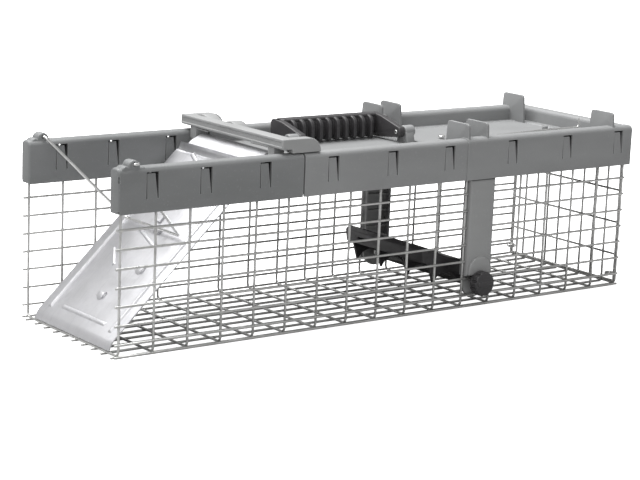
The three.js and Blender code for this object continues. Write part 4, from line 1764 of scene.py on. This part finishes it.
@dataclass(frozen=True)
class ColumnSize:
    """A column: its channel, cross ribs, foot, cowl and the tongue in the rail."""

    shelf: float = 24.0 * MM
    rail_foot: float = 92.1 * MM
    wall: float = 1.4 * MM
    depth: float = 7.6 * MM
    corner: float = 1.7 * MM
    ribs: int = 5
    rib_pitch: float = 12.0 * MM
    rib: float = 1.2 * MM
    rib_inset: Span = (4.6 * MM, 0.7 * MM)
    foot: Span = (54.9 * MM, 57.3 * MM)
    cowl_inset: float = 0.9 * MM
    cowl: Span = (0.6 * MM, 1.5 * MM)
    tongue: Span = (54.2 * MM, 55.6 * MM)


@dataclass
class Treadle:
    """The treadle on its axle, with the knobs, the crank, the link and the latch lever."""

    finishes: Finishes
    half: float = 44.0 * MM
    sheet: float = 2.2 * MM
    barrel: float = 4.6 * MM
    crank: float = 12.0 * MM
    link: float = 1.2 * MM
    front: float = 38.5 * MM
    top: float = 42.0 * MM
    rib_half: float = 1.1 * MM
    ribs: tuple[float, ...] = (-43.0, -15.0, 15.0, 43.0)
    beads: tuple[float, ...] = (-29.0, 0.0, 29.0)
    slots: tuple[float, ...] = (-26.0, 26.0)
    knee: Flat = (13.0 * MM, 33.5 * MM)
    tail_z: float = 30.0 * MM
    bore: float = 2.25 * MM
    eye_play: float = 0.35 * MM
    lever_bore: float = 1.85 * MM
    column_size: ColumnSize = ColumnSize()
    knob_size: KnobSize = KnobSize()

    def __post_init__(self) -> None:
        """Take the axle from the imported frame."""
        self.axle = joint_place("treadle_tip")

    def rib(self, y: float) -> Thing:
        """Shape one deep rib, arched below.

        Args:
            y: Its middle.

        Returns:
            The rib.
        """
        x, z = self.axle.x, self.axle.z
        outline = [(self.front, self.top - MM), (self.front + 1.5 * MM, 33 * MM)]
        outline += [(45 * MM, self.tail_z), (49 * MM, 17 * MM)]
        outline += arc((60 * MM, 12.4 * MM), 11.4 * MM, 156, 24, 12)
        outline += [(x, z - 4 * MM), (x + 3 * MM, z + 3 * MM)]
        outline += [(x + 2 * MM, self.tail_z - 0.5 * MM), (x - self.knee[0], self.knee[1] - 0.1 * MM)]
        rib = plate("rib", outline, (y - self.rib_half, y + self.rib_half), Axis.Y)
        return soften(rib, 0.45 * MM, 2, 40)

    def pan(self) -> Thing:
        """Make the treadle: a sloping plate on four ribs, hung on a barrel."""
        x, z = self.axle.x, self.axle.z
        half = self.sheet / 2
        outline = [
            (x + 2 * MM, self.tail_z + half),
            (x - self.knee[0], self.knee[1] + half),
            (self.front + 2 * MM, self.top + half * 0.9),
            (self.front - 0.6 * MM, self.top - 1.2 * MM),
            (self.front + 0.6 * MM, self.top - 10 * MM),
            (self.front + 2.6 * MM, self.top - 10 * MM),
            (self.front + 2.2 * MM, self.top - half * 1.6),
            (x - self.knee[0], self.knee[1] - half),
            (x + 1.4 * MM, self.tail_z - half),
        ]
        plate_top = plate("treadle_plate", outline, (-self.half, self.half), Axis.Y)
        soften(plate_top, 0.6 * MM, 3, 25)
        slot_x, slot_half = self.front - 2 * MM, 4 * MM
        low, high = self.top - 6.4 * MM, self.top - 4.6 * MM
        slots = [
            block("slot", (slot_x, y * MM - slot_half, low), (slot_x + 6 * MM, y * MM + slot_half, high))
            for y in self.slots
        ]
        carve(plate_top, *slots)
        barrel = rod("barrel", self.barrel, (x, -self.half, z), (x, self.half, z), 36)
        soften(barrel, 0.7 * MM, 3, 60)
        past = self.half + 16 * MM
        carve(barrel, rod("bore", self.bore, (x, -past, z), (x, past, z)))
        web_end, web_top = self.half - MM, self.tail_z + 0.6 * MM
        web = block("web", (x - 1.2 * MM, -web_end, z + 3 * MM), (x + 1.2 * MM, web_end, web_top))
        beads = []
        for y in self.beads:
            bead = block("bead", (0, (y - 2) * MM, 0), (24 * MM, (y + 2) * MM, 1.4 * MM))
            soften(bead, 0.6 * MM, 3)
            bead.rotation_euler = (0, math.atan2(8.5, 24.5), 0)
            bead.location = (self.front + 2.6 * MM, 0, self.top + half - 0.9 * MM)
            beads.append(settle(bead))
        ribs = [self.rib(y * MM) for y in self.ribs]
        return gather("treadle_body", [plate_top, barrel, web, *beads, *ribs])

    def side_arm(self) -> Thing:
        """Shape the pale arm along the treadle's far side."""
        x = self.axle.x
        outline = [
            (self.front + 5 * MM, self.top + 0.6 * MM),
            (x + 2.5 * MM, 32.4 * MM),
            (x + 2.5 * MM, 29.4 * MM),
            (self.front + 5 * MM, self.top - 3 * MM),
        ]
        arm = plate("treadle_side_arm", outline, (self.half + 0.6 * MM, self.half + 3.8 * MM), Axis.Y)
        return soften(arm, 0.6 * MM, 3, 40)

    def knob(self, side: Side) -> Thing:
        """Turn one fluted knob with a bar across its face.

        Args:
            side: The side of the trap.

        Returns:
            The knob.
        """
        low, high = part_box(f"knob_{side.word}")
        x, z = self.axle.x, self.axle.z
        radius = (high.x - low.x) / 2
        size, out = self.knob_size, side.value
        inner, outer = (low.y, high.y - size.face) if side is Side.FAR else (high.y, low.y + size.face)
        body = rod("knob", radius, (x, inner, z), (x, outer, z), 48)
        soften(body, 1.5 * MM, 4, 60)
        flutes = []
        for i in range(size.flutes):
            angle = 2 * math.pi * (i + 0.5) / size.flutes
            fx, fz = x + (radius + MM) * math.cos(angle), z + (radius + MM) * math.sin(angle)
            ends = (fx, inner + out * 2 * MM, fz), (fx, outer + out * MM, fz)
            flutes.append(rod("flute", size.flute, *ends, 20))
        bore = rod("bore", self.bore, (x, inner - out * MM, z), (x, inner + out * size.bore_depth, z))
        carve(body, gather("flutes", flutes), bore)
        span = sorted((inner + out * 3 * MM, outer + out * size.face))
        bar_reach = radius - size.bar_inset
        bar = block(
            "bar",
            (x - bar_reach, span[0], z - size.bar_half),
            (x + bar_reach, span[1], z + size.bar_half),
        )
        soften(bar, 0.8 * MM, 3)
        return gather(f"fluted_knob_{side.word}", [body, bar])

    def column(self, side: Side) -> Thing:
        """Shape one column: a channel open to the cage, with cross ribs, a foot and a cowl.

        Args:
            side: The side of the trap.

        Returns:
            The column.
        """
        low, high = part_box(f"column_{side.word}")
        x, z = self.axle.x, self.axle.z
        outer = max(abs(low.y), abs(high.y))
        size = self.column_size
        shelf = size.shelf
        near, far = side.span(outer - size.depth, outer)
        shell = block("column", (low.x, near, shelf), (high.x, far, size.rail_foot))
        with editing(shell, "EDGE"):
            choose_edges(shell, lambda p: abs(abs(p.y) - outer) < EPSILON)
            bpy.ops.mesh.bevel(offset=size.corner, segments=4, affect="EDGES")
            choose_faces(shell, lambda c, n: n.y * side.value < -0.9)
            bpy.ops.mesh.delete(type="FACE")
        wall_up(shell, size.wall)
        levels = [shelf + size.rib_pitch * (i + 1) for i in range(size.ribs)]
        rib_span = side.span(outer - size.rib_inset[0], outer - size.rib_inset[1])
        ribs = [
            block("rib", (low.x + MM, rib_span[0], level), (high.x - MM, rib_span[1], level + size.rib))
            for level in levels
        ]
        middle, half = (low.x + high.x) / 2, (high.x - low.x) / 2
        foot_top = shelf + size.wall
        foot_outline = [(low.x, foot_top), *arc((middle, z), half, 180, 360, 20), (high.x, foot_top)]
        foot = plate("foot", foot_outline, side.span(*size.foot), Axis.Y)
        soften(foot, 0.4 * MM, 2, 50)
        carve(foot, rod("bore", self.bore, (x, -outer - 9 * MM, z), (x, outer + 9 * MM, z)))
        cowl_half, cowl_foot = half - size.cowl_inset, shelf + 0.4 * MM
        cowl_outline = [(middle + cowl_half, cowl_foot)]
        cowl_outline += arc((middle, shelf + 2.6 * MM), cowl_half, 0, 180, 20)
        cowl_outline.append((middle - cowl_half, cowl_foot))
        cowl = plate("cowl", cowl_outline, side.span(outer - size.cowl[0], outer + size.cowl[1]), Axis.Y)
        soften(cowl, 0.9 * MM, 3, 50)
        tongue_span = side.span(*size.tongue)
        tongue = block(
            "tongue",
            (low.x + 3 * MM, tongue_span[0], size.rail_foot - 6 * MM),
            (high.x - 3 * MM, tongue_span[1], high.z),
        )
        soften(tongue, 0.3 * MM)
        return gather(f"column_shell_{side.word}", [shell, *ribs, foot, cowl, tongue])

    def metalwork(self) -> None:
        """Bend the link, and shape the crank, the axle and the latch lever."""
        x, z = self.axle.x, self.axle.z
        steel = self.finishes.steel
        lever_pivot = joint_place("latch_tilt")
        link_x = x + self.crank
        route = [
            (link_x, 51 * MM, z),
            (link_x, 56 * MM, z),
            (link_x, 56 * MM, lever_pivot.z),
            (link_x, 40.5 * MM, lever_pivot.z),
        ]
        link = bent_wire("lift_link", route, self.link, 2 * MM)
        dress(link, "link", Slot.STEEL, steel, "link_rod")
        low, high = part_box("treadle_crank")
        outline = [*arc((x, z), 4.2 * MM, 300, 60, 14), *arc((link_x, z), 3.6 * MM, 75, -75, 10)]
        crank = plate("lift_crank", outline, (low.y, high.y), Axis.Y)
        soften(crank, 0.4 * MM, 2, 50)
        bores = [
            rod("bore", radius, (bore_x, low.y - MM, z), (bore_x, high.y + MM, z))
            for bore_x, radius in ((x, self.bore), (link_x, self.link + self.eye_play))
        ]
        dress(carve(crank, *bores), "treadle", Slot.STEEL, steel, "treadle_crank")
        low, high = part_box("treadle_axle")
        axle = rod("knob_axle", (high.x - low.x) / 2, (x, low.y, z), (x, high.y, z), 28)
        dress(soften(axle, 0.4 * MM, 3, 60), "treadle", Slot.DARK, self.finishes.dark, "treadle_axle")
        self.lever(lever_pivot, link_x)

    def lever(self, pivot: Vector, link_x: float) -> None:
        """Shape the latch lever under the deck, with its hook at the front.

        Args:
            pivot: Where it turns.
            link_x: Where the link lifts it.
        """
        low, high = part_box("latch_lever")
        z = pivot.z
        outline = [
            (low.x, z - 2.5 * MM),
            (pivot.x - 5 * MM, z - 3.5 * MM),
            *arc((high.x - 3.5 * MM, z), 3.5 * MM, 270, 450, 10),
            (pivot.x - 5 * MM, z + 3.5 * MM),
            (low.x + 4 * MM, z + MM),
            (low.x + 3 * MM, z + 3.2 * MM),
            (low.x, z + 3.2 * MM),
        ]
        lever = plate("latch_arm", outline, (low.y, high.y), Axis.Y)
        soften(lever, 0.4 * MM, 2, 50)
        bores = [
            rod("bore", radius, (x, low.y - MM, z), (x, high.y + MM, z))
            for x, radius in ((pivot.x, self.lever_bore), (link_x, self.link + self.eye_play))
        ]
        dress(carve(lever, *bores), "latch", Slot.STEEL, self.finishes.steel, "latch_lever")

    def build(self) -> None:
        """Make the treadle's pieces."""
        dress(self.pan(), "treadle", Slot.DARK, self.finishes.dark, "treadle_pan")
        dress(self.side_arm(), "treadle", Slot.LIGHT, self.finishes.light)
        for side in Side:
            dress(self.knob(side), "treadle", Slot.DARK, self.finishes.dark, f"knob_{side.word}")
            dress(self.column(side), "frame", Slot.LIGHT, self.finishes.light, f"column_{side.word}")
        self.metalwork()


# ------------------------------------------------------------------ the studio
@dataclass
class Studio:
    """A pale floor, soft lights and the camera."""

    target: Point = (-18.4 * MM, 0.0, 46.1 * MM)
    azimuth: float = -37.2
    elevation: float = 12.02
    roll: float = 2.29
    distance: float = 1.385
    lens: float = 111.7
    sensor: float = 36.0
    floor_seen: Colour = (0.93, 0.93, 0.93)
    floor_bounce: Colour = (0.4, 0.4, 0.4)
    surround: float = 0.45

    def camera(self) -> None:
        """Place the camera, level but for its small roll."""
        turn, tilt, roll = (math.radians(a) for a in (self.azimuth, self.elevation, self.roll))
        back = Vector((math.sin(turn) * math.cos(tilt), -math.cos(turn) * math.cos(tilt), math.sin(tilt)))
        right = Vector((math.cos(turn), math.sin(turn), 0))
        up = back.cross(right)
        rolled_right = right * math.cos(roll) + up * math.sin(roll)
        rolled_up = up * math.cos(roll) - right * math.sin(roll)
        pick()
        bpy.ops.object.camera_add()
        camera = bpy.context.object
        pose = Matrix((rolled_right, rolled_up, back)).transposed().to_4x4()
        pose.translation = Vector(self.target) + back * self.distance
        camera.matrix_world = pose
        camera.data.lens = self.lens
        camera.data.sensor_width = self.sensor
        camera.data.clip_start = 0.05
        bpy.context.scene.camera = camera

    def softbox(self, place: Point, aim: Point, size: float, power: float) -> None:
        """Hang one square soft light.

        Args:
            place: Where it hangs.
            aim: What it points at.
            size: The length of its side.
            power: Its power in watts.
        """
        pick()
        run = Vector(aim) - Vector(place)
        bpy.ops.object.light_add(
            type="AREA", location=place, rotation=run.to_track_quat("-Z", "Y").to_euler()
        )
        light = bpy.context.object
        light.data.shape = "SQUARE"
        light.data.size = size
        light.data.energy = power

    def floor(self) -> None:
        """Lay the pale floor. It is white to look at, and throws less light back up."""
        pick()
        bpy.ops.mesh.primitive_plane_add(size=60, location=(0, 0, -0.2 * MM))
        ground = bpy.context.object
        ground.name = "studio_floor"
        work = Paintwork("pale_floor")
        mottle = work.noise(0.4, 2)
        seen = work.blend(mottle, self.floor_seen, (0.95, 0.95, 0.95))
        looked_at = work.add("ShaderNodeLightPath").outputs["Is Camera Ray"]
        work.set(Base_Color=work.blend(looked_at, self.floor_bounce, seen), Roughness=0.95)
        work.set(Emission_Color=(1, 1, 1, 1), Emission_Strength=looked_at)
        ground.data.materials.append(work.material)

    def sky(self) -> None:
        """Give the studio a white backdrop and a dimmer, even light from all round."""
        world = bpy.data.worlds.new("studio_surround")
        world.use_nodes = True
        nodes, links = world.node_tree.nodes, world.node_tree.links
        looked_at = nodes.new("ShaderNodeLightPath").outputs["Is Camera Ray"]
        level = nodes.new("ShaderNodeMapRange")
        links.new(looked_at, level.inputs["Value"])
        level.inputs["To Min"].default_value = self.surround
        level.inputs["To Max"].default_value = 1.0
        links.new(level.outputs["Result"], nodes["Background"].inputs["Strength"])
        nodes["Background"].inputs["Color"].default_value = (1, 1, 1, 1)
        bpy.context.scene.world = world

    def build(self) -> None:
        """Set the whole studio up."""
        bpy.context.scene.view_settings.view_transform = "Standard"
        self.camera()
        self.floor()
        self.sky()
        self.softbox((-0.3, 0.5, 1.9), (0, 0, 0), 1.9, 80)
        self.softbox((-1.5, -1.3, 1.1), (0, 0, 0.05), 0.9, 9)


def main() -> None:
    """Build the trap's sub-assemblies in order, then the studio."""
    logging.basicConfig(level=logging.INFO, format="%(name)s: %(message)s")
    finishes = Finishes.mixed()
    assemblies = (
        WireCage(finishes),
        TopFrame(finishes),
        Crossbar(finishes),
        Door(finishes),
        LockBail(finishes),
        CarryHandle(finishes),
        Treadle(finishes),
    )
    for assembly in assemblies:
        LOG.info("building %s", type(assembly).__name__)
        assembly.build()
    Studio().build()
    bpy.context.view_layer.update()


if __name__ == "__main__":
    main()
